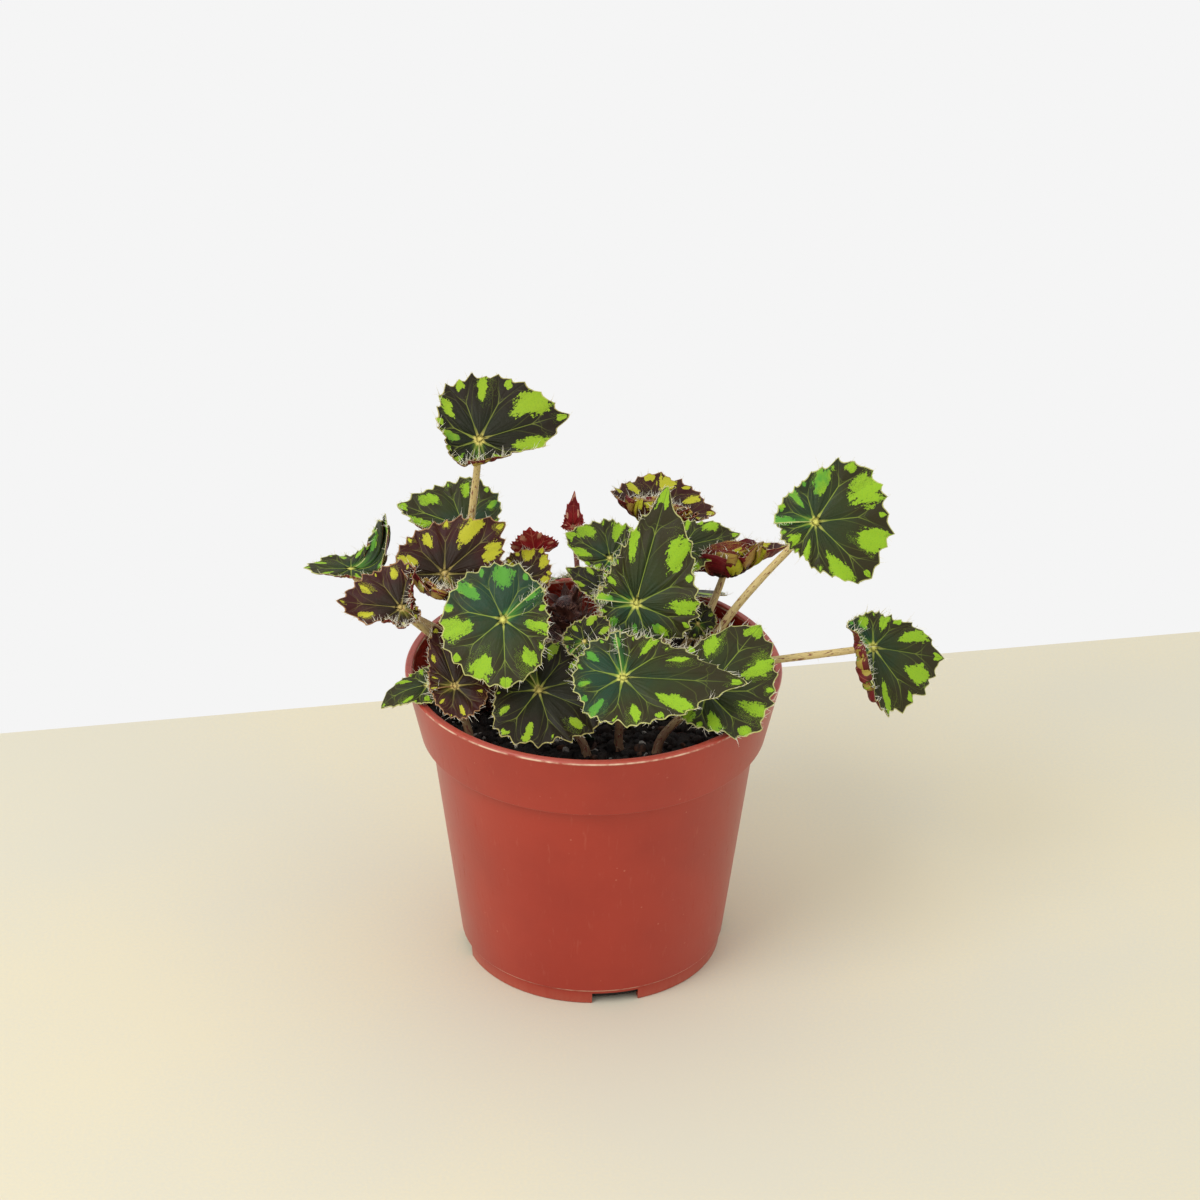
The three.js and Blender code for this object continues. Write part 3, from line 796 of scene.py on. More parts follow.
def sheet(grid: Array, lift: Array) -> tuple[Array, list[Array]]:
    """A thin closed sheet to both sides of a grid of points.

    Args:
        grid: Points by rows and columns.
        lift: From the grid to the upper side at each point.

    Returns:
        Corners, then groups of faces.
    """
    number = np.arange(grid[..., 0].size).reshape(grid.shape[:2])
    quads = grid_quads(number)
    loop = np.concatenate([number[0], number[1:, -1], number[-1, -2::-1], number[-2:0:-1, 0]])
    points = np.concatenate([(grid + lift).reshape(-1, 3), (grid - lift).reshape(-1, 3)])
    return points, [quads, quads[:, ::-1] + number.size, bridge(loop, loop + number.size)[:, ::-1]]


def run_along(line: Array) -> Array:
    """Length from the start of a line to each of its points."""
    return np.concatenate([[0], np.cumsum(np.linalg.norm(np.diff(line, axis=0), axis=1))])


def joint_corners(points: Array, triangles: Array) -> Array:
    """The two corners where most triangles of a frame blade meet: its joint, above and below."""
    return np.argsort(-np.bincount(triangles.ravel(), minlength=len(points)))[:2]


@dataclass
class Basket:
    """Collects many small closed bits into one mesh."""

    name: str
    points: list[Array] = field(default_factory=list)
    faces: list[Array] = field(default_factory=list)
    corners: int = 0

    def put(self, points: Array, *faces: Array) -> None:
        """Adds a batch of bits, with their corners numbered from 0."""
        self.points.append(points)
        self.faces.extend(group + self.corners for group in faces)
        self.corners += len(points)

    def put_hairs(self, roots: Array, heads: Array, bends: Array, lengths: Array, radius: float) -> None:
        """Adds thin tapering three-sided hairs, closed at both ends.

        Args:
            roots: Where each starts.
            heads: Unit direction that each leaves in.
            bends: Sideways drift of each tip, as a share of its length.
            lengths: Length of each.
            radius: Radius at the root.
        """
        if not len(roots):
            return
        steps = 4
        spare = np.where(np.abs(heads[:, 2:3]) < 0.9, [[0, 0, 1.0]], [[1.0, 0, 0]])
        side = unit(np.cross(heads, spare))
        other = np.cross(heads, side)
        t = np.linspace(0, 1, steps + 1)[None, :, None]
        length = lengths[:, None, None]
        line = roots[:, None] + length * (heads[:, None] * t + bends[:, None] * t**2)
        rings = []
        for k in range(3):
            turn = math.tau * k / 3
            out = (side * math.cos(turn) + other * math.sin(turn))[:, None]
            rings.append(line + out * radius * (1 - 0.8 * t))
        points = np.stack(rings, axis=2).reshape(-1, 3)
        start = (np.arange(len(roots)) * (steps + 1) * 3)[:, None, None]
        row = start + (np.arange(steps) * 3)[None, :, None]
        k = np.arange(3)[None, None, :]
        after = (k + 1) % 3
        walls = np.stack([row + k, row + after, row + 3 + after, row + 3 + k], axis=-1).reshape(-1, 4)
        feet = start[:, 0] + [[2, 1, 0]]
        tips = start[:, 0] + steps * 3 + np.array([[0, 1, 2]])
        self.put(points, walls, feet, tips)

    def lay(self, material: bpy.types.Material, slot: str) -> None:
        """Makes the one object that holds everything."""
        piece = lay_mesh(self.name, np.concatenate(self.points), self.faces, material)
        settle(piece, slot)


@dataclass
class Stem:
    """A round stem swept along a line, with a frame that doesn't twist."""

    line: Array
    radii: Array
    sides: int = 14

    def __post_init__(self) -> None:
        """Works out the frame along the line."""
        self.heading = unit(np.gradient(self.line, axis=0))
        across = np.zeros_like(self.line)
        spare = np.array([1.0, 0, 0]) if abs(self.heading[0, 0]) < 0.8 else np.array([0, 1.0, 0])
        side = spare
        for k, ahead in enumerate(self.heading):
            side = unit(side - ahead * (side @ ahead))
            across[k] = side
        self.across = across
        self.over = np.cross(self.heading, across)
        self.run = run_along(self.line)
        self.turns = np.arange(self.sides) * math.tau / self.sides

    def rings(self) -> Array:
        """Corners, as rings along the stem by places round it."""
        cosine, sine = np.cos(self.turns)[None, :, None], np.sin(self.turns)[None, :, None]
        out = self.across[:, None] * cosine + self.over[:, None] * sine
        return self.line[:, None] + out * self.radii[:, None, None]

    def skin(self, rings: Array) -> tuple[Array, list[Array]]:
        """Corners and faces of the closed stem.

        Args:
            rings: Corners, as rings by places round it.

        Returns:
            Corners, then groups of faces.
        """
        count, sides = rings.shape[:2]
        points = np.concatenate([rings.reshape(-1, 3), rings[:1].mean(1), rings[-1:].mean(1)])
        number = np.arange(count * sides).reshape(count, sides)
        return points, tube(number, number.size, number.size + 1)

    @staticmethod
    def centres(node: str, order: Array, around: int) -> Array:
        """Ring centres of a frame bar, from the ring whose corners come first in an order.

        Args:
            node: The bar's node.
            order: A number for each welded corner.
            around: Corners in a ring.

        Returns:
            One centre for each ring.
        """
        points, triangles = welded(node)
        linked: dict[int, set[int]] = {k: set() for k in range(len(points))}
        for a, b, c in triangles:
            linked[a] |= {b, c}
            linked[b] |= {a, c}
            linked[c] |= {a, b}
        ring = set(np.argsort(order)[:around].tolist())
        seen = set(ring)
        centres = []
        while ring:
            centres.append(points[sorted(ring)].mean(0))
            ring = set().union(*(linked[k] for k in ring)) - seen
            seen |= ring
        return np.array(centres)


# ---------------------------------------------------------------- leaves


@dataclass
class BladeNet:
    """Lines of a frame blade at the middle of its thickness: joint, half-way ring and smooth full reach."""

    joint: Array
    normal: Array
    half: Array
    full: Array

    @classmethod
    def read(cls, node: str, below: Array) -> "BladeNet":
        """Walks a frame blade's triangles out from its two joint corners.

        Args:
            node: The blade's node.
            below: A point on the under side, where the stalk ends.

        Returns:
            The blade's lines.
        """
        points, triangles = welded(node)
        third: dict[tuple[int, int], int] = {}
        for a, b, c in triangles.tolist():
            third[(a, b)], third[(b, c)], third[(c, a)] = c, a, b
        poles = joint_corners(points, triangles)
        under, upper = sorted(poles.tolist(), key=lambda k: np.linalg.norm(points[k] - below))
        top_ring, top_edge = cls._walk(upper, under, third)
        top_edge.append(third[(top_ring[-1], top_edge[-1])])
        low_ring, low_edge = cls._walk(under, upper, third)
        low_edge.insert(0, third[(low_edge[0], low_ring[0])])
        joint = (points[upper] + points[under]) / 2
        half = (points[top_ring[::-1]] + points[low_ring]) / 2
        full = (points[top_edge[::-1]] + points[low_edge]) / 2
        share = 0.88  # the frame's odd rays stop in the valleys between teeth
        reached = joint * 2 * (share - 0.5) * (share - 1) + half * 4 * share * (1 - share)
        valley = np.arange(len(full)) % 2 == 1
        full[valley] = ((full - reached) / (2 * share * (share - 0.5)))[valley]
        return cls(joint, unit(points[upper] - points[under]), half, full)

    @staticmethod
    def _walk(pole: int, other: int, third: dict[tuple[int, int], int]) -> tuple[list[int], list[int]]:
        """The half-way ring round a pole and the margin beyond it, in the order in which the faces turn."""
        follow = {a: c for (p, a), c in third.items() if p == pole}
        ring = [follow[other]]
        while len(ring) < len(follow) - 2:
            ring.append(follow[ring[-1]])
        return ring, [third[(b, a)] for a, b in zip(ring, ring[1:])]


@dataclass
class Blade:
    """The fine surface of one leaf over its frame blade, with its stalk and the hairs on its margin."""

    name: str
    kind: LeafKind
    seed: int
    mood: LeafMood

    half_thickness_mm: float = 0.21
    across_mm: float = 0.62
    tuck_deg: float = 8.5

    def __post_init__(self) -> None:
        """Reads the frame blade and counts the veins on each side of the tip."""
        self.rng = np.random.default_rng(self.seed)
        stalk, _ = welded(f"stalk_{self.name}")
        points, triangles = welded(f"blade_{self.name}")
        poles = joint_corners(points, triangles)
        near = np.argsort(np.linalg.norm(stalk - points[poles].mean(0), axis=1))[:6]
        self.stalk_top = stalk[near].mean(0)
        self.stalk_order = np.linalg.norm(stalk - self.stalk_top, axis=1)
        self.net = BladeNet.read(f"blade_{self.name}", self.stalk_top)
        arms = self.net.half - self.net.joint
        flat = unit(arms - np.outer(arms @ self.net.normal, self.net.normal))
        turns = np.arccos(np.clip(np.sum(flat[1:] * flat[:-1], axis=1), -1, 1))
        heading = np.concatenate([[0], np.cumsum(turns)])
        self.heading = heading - heading[TIP_RAY]
        spread = math.radians(VEINS.spread_deg)
        self.left_veins = max(2, round(-self.heading[0] / spread))
        self.right_veins = max(2, round(self.heading[LAST_RAY] / spread))
        self.reach_mm = float(np.linalg.norm(self.net.full[TIP_RAY] - self.net.joint) / MM)
        self.growth = float(np.clip(self.reach_mm / 26, 0.45, 1.1))

    def sector(self, ray: Array) -> Array:
        """Veins counted from the tip's, for places given in the frame's rays."""
        gap = VEINS.last_gap
        left = (ray / TIP_RAY - 1) * (self.left_veins + gap)
        right = (ray / TIP_RAY - 1) * (self.right_veins + gap)
        return np.where(ray < TIP_RAY, left, right)

    def ray(self, sector: Array) -> Array:
        """The frame's ray of a place given in sectors."""
        gap = VEINS.last_gap
        veins = np.where(sector < 0, self.left_veins, self.right_veins)
        return TIP_RAY * (1 + sector / (veins + gap))

    def _teeth(self) -> tuple[Array, Array, Array]:
        """Places of the teeth in sectors, and each one's reach and notch as shares of the full reach."""
        places, heights = [], []
        for k in range(-self.left_veins, self.right_veins + 1):
            for fork in (-VEINS.fork_reach, VEINS.fork_reach):
                places.append(k + fork + self.rng.uniform(-0.04, 0.04))
                heights.append(self.rng.uniform(0.94, 1.0))
        places.append(0.0)
        heights.append(1.0)
        order = np.argsort(places)
        places, heights = np.array(places)[order], np.array(heights)[order]
        between = (places[1:] + places[:-1]) / 2 + self.rng.uniform(-0.03, 0.03, len(places) - 1)
        wide = np.diff(places) > 0.3
        minor = self.rng.uniform(0.905, 0.965, len(between))
        places = np.concatenate([places, between[wide]])
        heights = np.concatenate([heights, minor[wide]])
        order = np.argsort(places)
        depths = self.rng.uniform(0.03, 0.085, len(places)) * self.mood.teeth
        return places[order], 1 - (1 - heights[order]) * self.mood.teeth, depths

    def _margin(self, sector: Array) -> Array:
        """Share of the full reach at which the toothed margin lies, with teeth that lean to the tip."""
        places, heights, depths = self.teeth
        cell = np.clip(np.searchsorted(places, sector) - 1, 0, len(places) - 2)
        width = places[cell + 1] - places[cell]
        t = np.clip((sector - places[cell]) / width, 0, 1)
        lean = np.where(places[cell] < 0, 0.72, 1.4)
        dip = np.sin(math.pi * t**lean) ** 1.2
        depth = depths[cell] * np.clip(width / 0.25, 0.55, 1.25)
        nibbles = 0.009 * self.mood.teeth * ripple(sector * 17, self.seed)
        return heights[cell] * (1 - t) + heights[cell + 1] * t - dip * depth + nibbles

    def _lift(self, ray: Array, share: Array, from_vein_mm: Array, run_mm: Array) -> tuple[Array, Array]:
        """How far the upper and the under side stand off the frame's middle surface, in millimetres."""
        size = self.growth
        groove = np.exp(-((from_vein_mm / (0.42 * size)) ** 2)) * (1 - 0.55 * share)
        quilt = 1 - np.exp(-((from_vein_mm / (1.9 * size)) ** 2))
        place = self.sector(ray)[:, None] + 0 * share
        wave = ripple(place * 4.2, self.seed * 0.37) * share**4 * self.mood.wave_mm
        wave = wave + ripple(place * 1.6 + share * 2, self.seed * 0.53) * share**2 * 0.7 * size
        dimple = -0.4 * size * np.exp(-((run_mm / (2.6 * size)) ** 2))
        middle = wave + dimple + quilt * 0.62 * size * np.sin(math.pi * np.minimum(share, 1) ** 0.8)
        for end, up in ((self.first_ray, 0.9), (self.last_ray, -0.6)):
            near = np.clip(1 - np.abs(ray - end) / (self.tuck_rays * 2.6), 0, 1)[:, None] ** 2
            middle = middle + near * up * size * np.sin(math.pi * np.clip(share * 0.9, 0, 1)) ** 0.6
        half = self.half_thickness_mm * (1 - 0.35 * share)
        boss = 1.1 * size * np.exp(-((run_mm / (1.7 * size)) ** 2))
        return middle + half - groove * 0.16 * size, middle - half - groove * 0.3 * size - boss

    def _rolled(self, surface: Array, turned: Array) -> Array:
        """Curls stretches of the margin up over the blade, and keeps their length.

        Args:
            surface: Points, as rays by places along them.
            turned: Direction of each ray from the tip, in radians.

        Returns:
            The curled points.
        """
        for roll in self.mood.rolls:
            off = np.abs((np.degrees(turned) - roll.toward_deg + 180) % 360 - 180) / roll.half_width_deg
            turn = math.radians(roll.turn_deg) * np.clip(1 - off**2, 0, 1) ** 1.2
            steps = np.linalg.norm(np.diff(surface, axis=1), axis=2)
            run = np.concatenate([np.zeros((len(turned), 1)), np.cumsum(steps, axis=1)], axis=1)
            total = run[:, -1] + np.linalg.norm(surface[:, 0] - self.net.joint, axis=1)
            start = run[:, -1] - total * roll.depth
            past = np.maximum(run - start[:, None], 0)
            bend = np.maximum(turn / (total * roll.depth), 1e-3)[:, None]
            column = np.clip((run < start[:, None]).sum(axis=1), 1, run.shape[1] - 2)
            row = np.arange(len(turned))
            ahead = unit(surface[row, column + 1] - surface[row, column - 1])
            across = np.gradient(surface[:, -1], axis=0)
            over = unit(np.cross(ahead, across))
            over = over * np.sign(over @ self.net.normal)[:, None]
            shift = np.sin(bend * past) / bend - past
            rise = (1 - np.cos(bend * past)) / bend
            surface = surface + ahead[:, None] * shift[..., None] + over[:, None] * rise[..., None]
        return surface

    def build(self, materials: dict[LeafKind, bpy.types.Material], lashes: Basket) -> bpy.types.Object:
        """Makes the leaf's mesh, its numbers for the paint, its bake map and its marginal hairs.

        Args:
            materials: The material of each kind of blade.
            lashes: Where the hairs go.

        Returns:
            The leaf.
        """
        self.teeth = self._teeth()
        tuck = math.radians(self.tuck_deg)
        first_gap, last_gap = -self.heading[0] / TIP_RAY, self.heading[LAST_RAY] / TIP_RAY
        self.first_ray = -tuck / first_gap
        self.last_ray = LAST_RAY + tuck / last_gap
        self.tuck_rays = (self.last_ray - LAST_RAY - self.first_ray) / 2
        length_mm = self.reach_mm * 5
        count = int(np.clip(length_mm / self.across_mm, 96, 300))
        rays = np.concatenate([np.linspace(self.first_ray, self.last_ray, count), self.ray(self.teeth[0])])
        rays = np.unique(np.round(rays[(rays >= self.first_ray) & (rays <= self.last_ray)], 3))
        steps = int(np.clip(self.reach_mm * 0.85, 12, 26))
        shares = (np.arange(1, steps + 1) / steps) ** 0.92

        turned = np.interp(rays, np.arange(LAST_RAY + 1), self.heading)
        turned += np.where(rays < 0, rays * -self.heading[0] / TIP_RAY, 0)
        turned += np.where(rays > LAST_RAY, (rays - LAST_RAY) * self.heading[LAST_RAY] / TIP_RAY, 0)
        half, full = spline(self.net.half, rays), spline(self.net.full, rays)
        margin = self._margin(self.sector(rays))
        u = (shares[None, :] * margin[:, None])[..., None]
        joint = self.net.joint
        surface = joint * 2 * (u - 0.5) * (u - 1) + half[:, None] * 4 * u * (1 - u)
        surface = surface + full[:, None] * 2 * u * (u - 0.5)
        surface = self._rolled(surface, turned)
        along = np.gradient(rays)
        d_ray = np.gradient(surface, axis=0) / along[:, None, None]
        d_out = np.gradient(surface, axis=1)
        normal = unit(np.cross(d_out, d_ray))
        if np.sum(normal[:, 0] @ self.net.normal) < 0:
            normal = -normal

        joints = np.broadcast_to(joint, (len(rays), 1, 3))
        out_mm = np.linalg.norm(np.diff(np.concatenate([joints, surface], 1), axis=1), axis=2)
        run_mm = np.cumsum(out_mm, axis=1) / MM
        sector = self.sector(rays)
        per_ray_mm = np.linalg.norm(d_ray, axis=2) / MM
        arc_mm = per_ray_mm / np.abs(np.gradient(sector, rays))[:, None]
        share = np.broadcast_to(shares, run_mm.shape)
        from_vein = VEINS.from_vein(sector[:, None], share, arc_mm)
        high, low = self._lift(rays, share, from_vein, run_mm)
        upper = surface + normal * (high * MM)[..., None]
        under = surface + normal * (low * MM)[..., None]

        side_mm = np.minimum(rays - self.first_ray, self.last_ray - rays)[:, None] * per_ray_mm
        rim_mm = np.minimum(run_mm[:, -1:] - run_mm, side_mm)
        flat_x, flat_y = run_mm * np.cos(turned)[:, None], run_mm * np.sin(turned)[:, None]

        number = np.arange(upper[..., 0].size).reshape(upper.shape[:2])
        ring = np.concatenate([number[0], number[1:, -1], number[-1, -2::-1]])
        pole_high, pole_low = (joint + self.net.normal * (d[:, 0].mean() * MM) for d in (high, low))
        skin = number.size + 1
        edge_points, outward = self._edge(upper, under, d_out, d_ray)
        skins = [upper.reshape(-1, 3), [pole_high], under.reshape(-1, 3), [pole_low]]
        points = np.concatenate([*skins, edge_points])
        edge = 2 * skin + np.arange(len(ring))

        quads = grid_quads(number.T)
        fan = np.stack([np.full(len(rays) - 1, skin - 1), number[1:, 0], number[:-1, 0]], axis=1)
        mouth = np.array([[skin - 1, number[0, 0], edge[0]], [skin - 1, edge[-1], number[-1, 0]]])
        mouth_low = np.array([
            [2 * skin - 1, edge[0], skin + number[0, 0]], [2 * skin - 1, skin + number[-1, 0], edge[-1]],
        ])
        heel = np.array([[skin - 1, edge[0], 2 * skin - 1], [skin - 1, 2 * skin - 1, edge[-1]]])
        faces = [
            quads[:, ::-1],
            fan,
            quads + skin,
            fan[:, ::-1] + skin,
            bridge(ring, edge, False)[:, ::-1],
            bridge(edge, ring + skin, False)[:, ::-1],
            mouth[:, ::-1],
            mouth_low[:, ::-1],
            heel[:, ::-1],
        ]
        faces = self._facing_out(points, faces, normal)
        leaf = lay_mesh(f"leaf_{self.name}", points, faces, materials[self.kind])

        def spread(grid: Array, at_pole: float, at_edge: Optional[Array] = None) -> Array:
            """One number for each corner: both skins, their poles and the edge."""
            flat = np.append(np.broadcast_to(grid, number.shape).ravel(), at_pole)
            edge_values = flat[ring] if at_edge is None else at_edge
            return np.concatenate([flat, flat, edge_values])

        zero = np.zeros(len(ring))
        tone = self.rng.uniform(0.1, 0.9)
        carry(leaf, "net", spread(sector[:, None], 0.0), spread(share, 0.0), spread(arc_mm, 0.0))
        carry(leaf, "flat", spread(flat_x, 0.0), spread(flat_y, 0.0), tone)
        sides = np.concatenate([np.ones(skin), -np.ones(skin), zero + 0.35])
        carry(leaf, "edge", sides, spread(rim_mm, 0.6, zero), self.growth)
        # Per leaf, the patches' strength and the painted sheen's strength; per corner, the distance from the
        # heel's sides.
        carry(leaf, "mood", self.mood.lime, self.mood.sheen_amount, spread(side_mm, 0.5))
        self._bake_map(leaf, spread(flat_x, 0.0), spread(flat_y, 0.0), skin)
        settle(leaf, self.kind.value, f"blade_{self.name}")
        self._put_lashes(lashes, edge_points, outward, normal.reshape(-1, 3)[ring])
        return leaf

    def _edge(self, upper: Array, under: Array, d_out: Array, d_ray: Array) -> tuple[Array, Array]:
        """The rounded edge's outermost line: its corners and the direction out of the blade at each."""
        middle = (upper + under) / 2
        out, turn = unit(d_out), unit(d_ray)
        outward = np.concatenate([-turn[0], out[1:, -1], turn[-1, -2::-1]])
        line = np.concatenate([middle[0], middle[1:, -1], middle[-1, -2::-1]])
        steps = middle.shape[1]
        outward[steps - 1] = unit(out[0, -1] - turn[0, -1])
        outward[-steps] = unit(out[-1, -1] + turn[-1, -1])
        return line + outward * self.half_thickness_mm * 0.6 * MM, outward

    @staticmethod
    def _facing_out(points: Array, faces: list[Array], normal: Array) -> list[Array]:
        """Turns every face over when the upper skin's would face in."""
        a, b, c = (points[faces[0][0][k]] for k in range(3))
        if np.cross(b - a, c - a) @ normal.reshape(-1, 3)[faces[0][0][0]] < 0:
            return [group[:, ::-1] for group in faces]
        return faces

    @staticmethod
    def _bake_map(leaf: bpy.types.Object, x_mm: Array, y_mm: Array, skin: int) -> None:
        """Lays the upper skin flat in one half of the map, and the under skin in the other."""
        mesh = leaf.data
        corners = np.zeros(len(mesh.loops), int)
        mesh.loops.foreach_get("vertex_index", corners)
        starts = np.zeros(len(mesh.polygons), int)
        totals = np.zeros(len(mesh.polygons), int)
        mesh.polygons.foreach_get("loop_start", starts)
        mesh.polygons.foreach_get("loop_total", totals)
        faces = np.repeat(np.arange(len(starts)), totals)
        lower = np.zeros(len(starts), bool)
        np.logical_or.at(lower, faces, (corners >= skin) & (corners < 2 * skin))
        grow = np.where(corners >= 2 * skin, 1.03, 1.0)
        x, y = x_mm[corners] * grow, y_mm[corners] * grow
        wide = (x.max() - x.min()) * 1.06
        tall = (y.max() - y.min()) * 1.06
        u = (x - x.min()) / wide * 0.5 + 0.01
        u = np.where(lower[faces], u + 0.5, u)
        v = (y - y.min()) / tall + 0.02
        layer = mesh.uv_layers.new(name="OFBake")
        layer.uv.foreach_set("vector", np.stack([u, v], axis=1).astype(np.float32).ravel())

    def _put_lashes(self, lashes: Basket, line: Array, outward: Array, normal: Array) -> None:
        """Hairs along the margin, longer and denser towards the heel."""
        steps = np.linalg.norm(np.diff(line, axis=0), axis=1) / MM
        run = np.concatenate([[0], np.cumsum(steps)])
        count = int(run[-1] * 1.9 * self.mood.lashes)
        at = np.sort(self.rng.uniform(run[-1] * 0.04, run[-1] * 0.96, count))
        heel = np.abs(at / run[-1] - 0.5) * 2
        clumps = 0.5 + 0.5 * np.sin(at * 0.9 + self.seed)
        at = at[self.rng.uniform(0, 1, count) < 0.1 + 0.75 * heel**1.5 + 0.3 * clumps]
        pick = np.clip(np.searchsorted(run, at), 1, len(run) - 1)
        count, heel = len(at), np.abs(at / run[-1] - 0.5) * 2
        t = ((at - run[pick - 1]) / np.maximum(steps[pick - 1], 1e-6))[:, None]
        roots = line[pick - 1] * (1 - t) + line[pick] * t
        tilt = self.rng.uniform(0.2, 1.5, (count, 1))
        loose = self.rng.normal(0, 0.32, (count, 3))
        heads = unit(outward[pick] + normal[pick] * tilt + loose)
        bends = self.rng.normal(0, 0.42, (count, 3)) + normal[pick] * 0.25
        lengths = self.rng.uniform(0.6, 1.6 + 1.9 * heel) * MM * max(self.growth, 0.6)
        roots = roots - outward[pick] * 0.15 * MM
        lashes.put_hairs(roots, heads, bends, lengths, 0.1 * MM)

    def build_stalk(self, materials: dict[bool, bpy.types.Material], hairs: Basket) -> None:
        """Makes the stalk from the frame bar's centre line, run on into the blade and down into its foot.

        Args:
            materials: The stalk materials, young or not.
            hairs: Where its few hairs go.
        """
        young = self.kind is LeafKind.YOUNG
        centres = Stem.centres(f"stalk_{self.name}", self.stalk_order, 6)[::-1]
        keys = np.concatenate([centres[:1] + (centres[:1] - centres[1:2]) * 0.15, centres[1:]])
        line = spline(keys, np.linspace(0, len(keys) - 1, 56))
        head = self.net.joint - self.net.normal * 1.3 * self.growth * MM
        near = np.linalg.norm(line - self.net.joint, axis=1) < 2.4 * MM
        line = line[~near]
        line = np.concatenate([line[:-1], line[-1] + np.outer(np.linspace(0, 1, 8) ** 0.8, head - line[-1])])
        share = np.linspace(0, 1, len(line))
        width = 0.8 if young else 1.18
        swell = 1.22 - 0.3 * share**0.7 + 0.25 * np.exp(-((share - 1) / 0.03) ** 2)
        swell = swell + 0.3 * np.exp(-share / 0.04)
        radii = width * MM * swell * (1 + 0.03 * ripple(share * 22, self.seed))
        left = np.linalg.norm(line - line[-1], axis=1) / (2.6 * MM)
        radii = radii * np.sqrt(np.clip(1 - np.clip(1 - left, 0, 1) ** 2, 0.03, 1))
        stem = Stem(line, radii, 16)
        rings = stem.rings()
        ribs = 1 + 0.035 * np.cos(stem.turns * 5 + self.seed)[None, :, None] * np.ones((len(line), 1, 1))
        rings = stem.line[:, None] + (rings - stem.line[:, None]) * ribs
        points, faces = stem.skin(rings)
        piece = lay_mesh(f"stem_{self.name}", points, faces, materials[young])
        run = np.append(np.repeat(stem.run / MM, stem.sides), [0, stem.run[-1] / MM])
        ends = [0.0, 0.0]
        cosine, sine = (np.append(np.tile(way(stem.turns), len(line)), ends) for way in (np.cos, np.sin))
        carry(piece, "stem", cosine, sine, run)
        shares = np.append(np.repeat(share, stem.sides), [0, 1])
        carry(piece, "along", shares, self.rng.uniform(0, 1), self.mood.aged_stalk)
        settle(piece, "stalk_young" if young else "stalk", f"stalk_{self.name}")
        count = int(stem.run[-1] / MM * 0.9)
        ring = (self.rng.uniform(0, 1, count) ** 1.6 * (len(line) - 6)).astype(int)
        spot = self.rng.integers(0, stem.sides, count)
        roots = rings[ring, spot]
        out = unit(roots - line[ring])
        heads = unit(out + self.rng.normal(0, 0.35, (count, 3)))
        bends = self.rng.normal(0, 0.3, (count, 3))
        hairs.put_hairs(roots, heads, bends, self.rng.uniform(0.5, 1.6, count) * MM, 0.05 * MM)


# ---------------------------------------------------------------- rhizomes


@dataclass
class Rhizome:
    """A thick creeping stem with swollen nodes, papery scales and shaggy hair."""

    side: str
    seed: int
    scales: int
    hairs_per_mm: float
    node_mm: float = 5.2

    def build(self, bark: bpy.types.Material, scales: Basket, hairs: Basket) -> None:
        """Makes the stem's mesh, then its scales and hairs.

        Args:
            bark: The bark's material.
            scales: Where the papery scales go.
            hairs: Where the hairs go.
        """
        rng = np.random.default_rng(self.seed)
        node = f"rhizome_{self.side}"
        corners, _ = welded(node)
        order = corners[:, 2] if self.side == "middle" else np.abs(corners[:, 0])
        centres = Stem.centres(node, order, 8)
        line = spline(centres, np.linspace(0, len(centres) - 1, 90))
        radius = float(np.linalg.norm(corners[np.argsort(order)[:8]] - centres[0], axis=1).max())
        run = run_along(line) / MM
        nodes = 1 + 0.1 * np.cos(run / self.node_mm * math.tau) ** 3
        ends = np.sqrt(np.clip(1 - np.clip((run - run[-1] + 3.5) / 3.6, 0, 1) ** 2, 0.02, 1))
        if self.side != "middle":
            ends = ends * np.sqrt(np.clip(1 - np.clip((3.5 - run) / 3.6, 0, 1) ** 2, 0.02, 1))
        stem = Stem(line, radius * 0.9 * nodes * ends, 36)
        rings = stem.rings()
        flat = rings.reshape(-1, 3)
        bumps = 1 + 0.07 * lumps(flat, 160, self.seed) + 0.045 * lumps(flat, 420, self.seed + 1)
        rings = line[:, None] + (rings - line[:, None]) * bumps.reshape(rings.shape[:2])[..., None]
        points, faces = stem.skin(rings)
        piece = lay_mesh(f"creeping_stem_{self.side}", points, faces, bark)
        settle(piece, "rhizome", node)
        self._put_scales(stem, rings, scales, hairs, rng)
        count = int(run[-1] * self.hairs_per_mm)
        ring = rng.integers(3, len(line) - 1, count)
        spot = rng.integers(0, stem.sides, count)
        roots = rings[ring, spot]
        out = unit(roots - line[ring])
        keep = roots[:, 2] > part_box("soil")[1].z + 0.3 * MM
        heads = unit(out + stem.heading[ring] * 0.5 + rng.normal(0, 0.4, (count, 3)))
        bends = rng.normal(0, 0.4, (count, 3)) + [0, 0, -0.15]
        lengths = rng.uniform(1.2, 3.6, count) * MM
        hairs.put_hairs(roots[keep], heads[keep], bends[keep], lengths[keep], 0.055 * MM)

    def _put_scales(
        self, stem: Stem, rings: Array, scales: Basket, hairs: Basket, rng: np.random.Generator
    ) -> None:
        """Pointed papery scales that clasp the stem and lean along it, each edged with hairs."""
        count = len(stem.line)
        for k in range(self.scales):
            at = int(np.clip(count * (0.08 + 0.9 * k / self.scales) + rng.integers(-3, 4), 2, count - 3))
            turn = (k * 137.5 + rng.uniform(-25, 25)) % 360
            spot = int(turn / 10) % stem.sides
            root = rings[at, spot]
            if root[2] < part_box("soil")[1].z + 1.0 * MM:
                continue
            out = unit(root - stem.line[at])
            ahead = stem.heading[at]
            scale = Scale(
                root=root - out * 0.5 * MM, out=out, ahead=ahead, length_mm=rng.uniform(5, 9.5),
                width_mm=rng.uniform(3.2, 5.6), lift=rng.uniform(0.15, 0.75), curl=rng.uniform(-0.2, 0.5),
            )
            scale.put(scales, hairs, rng)


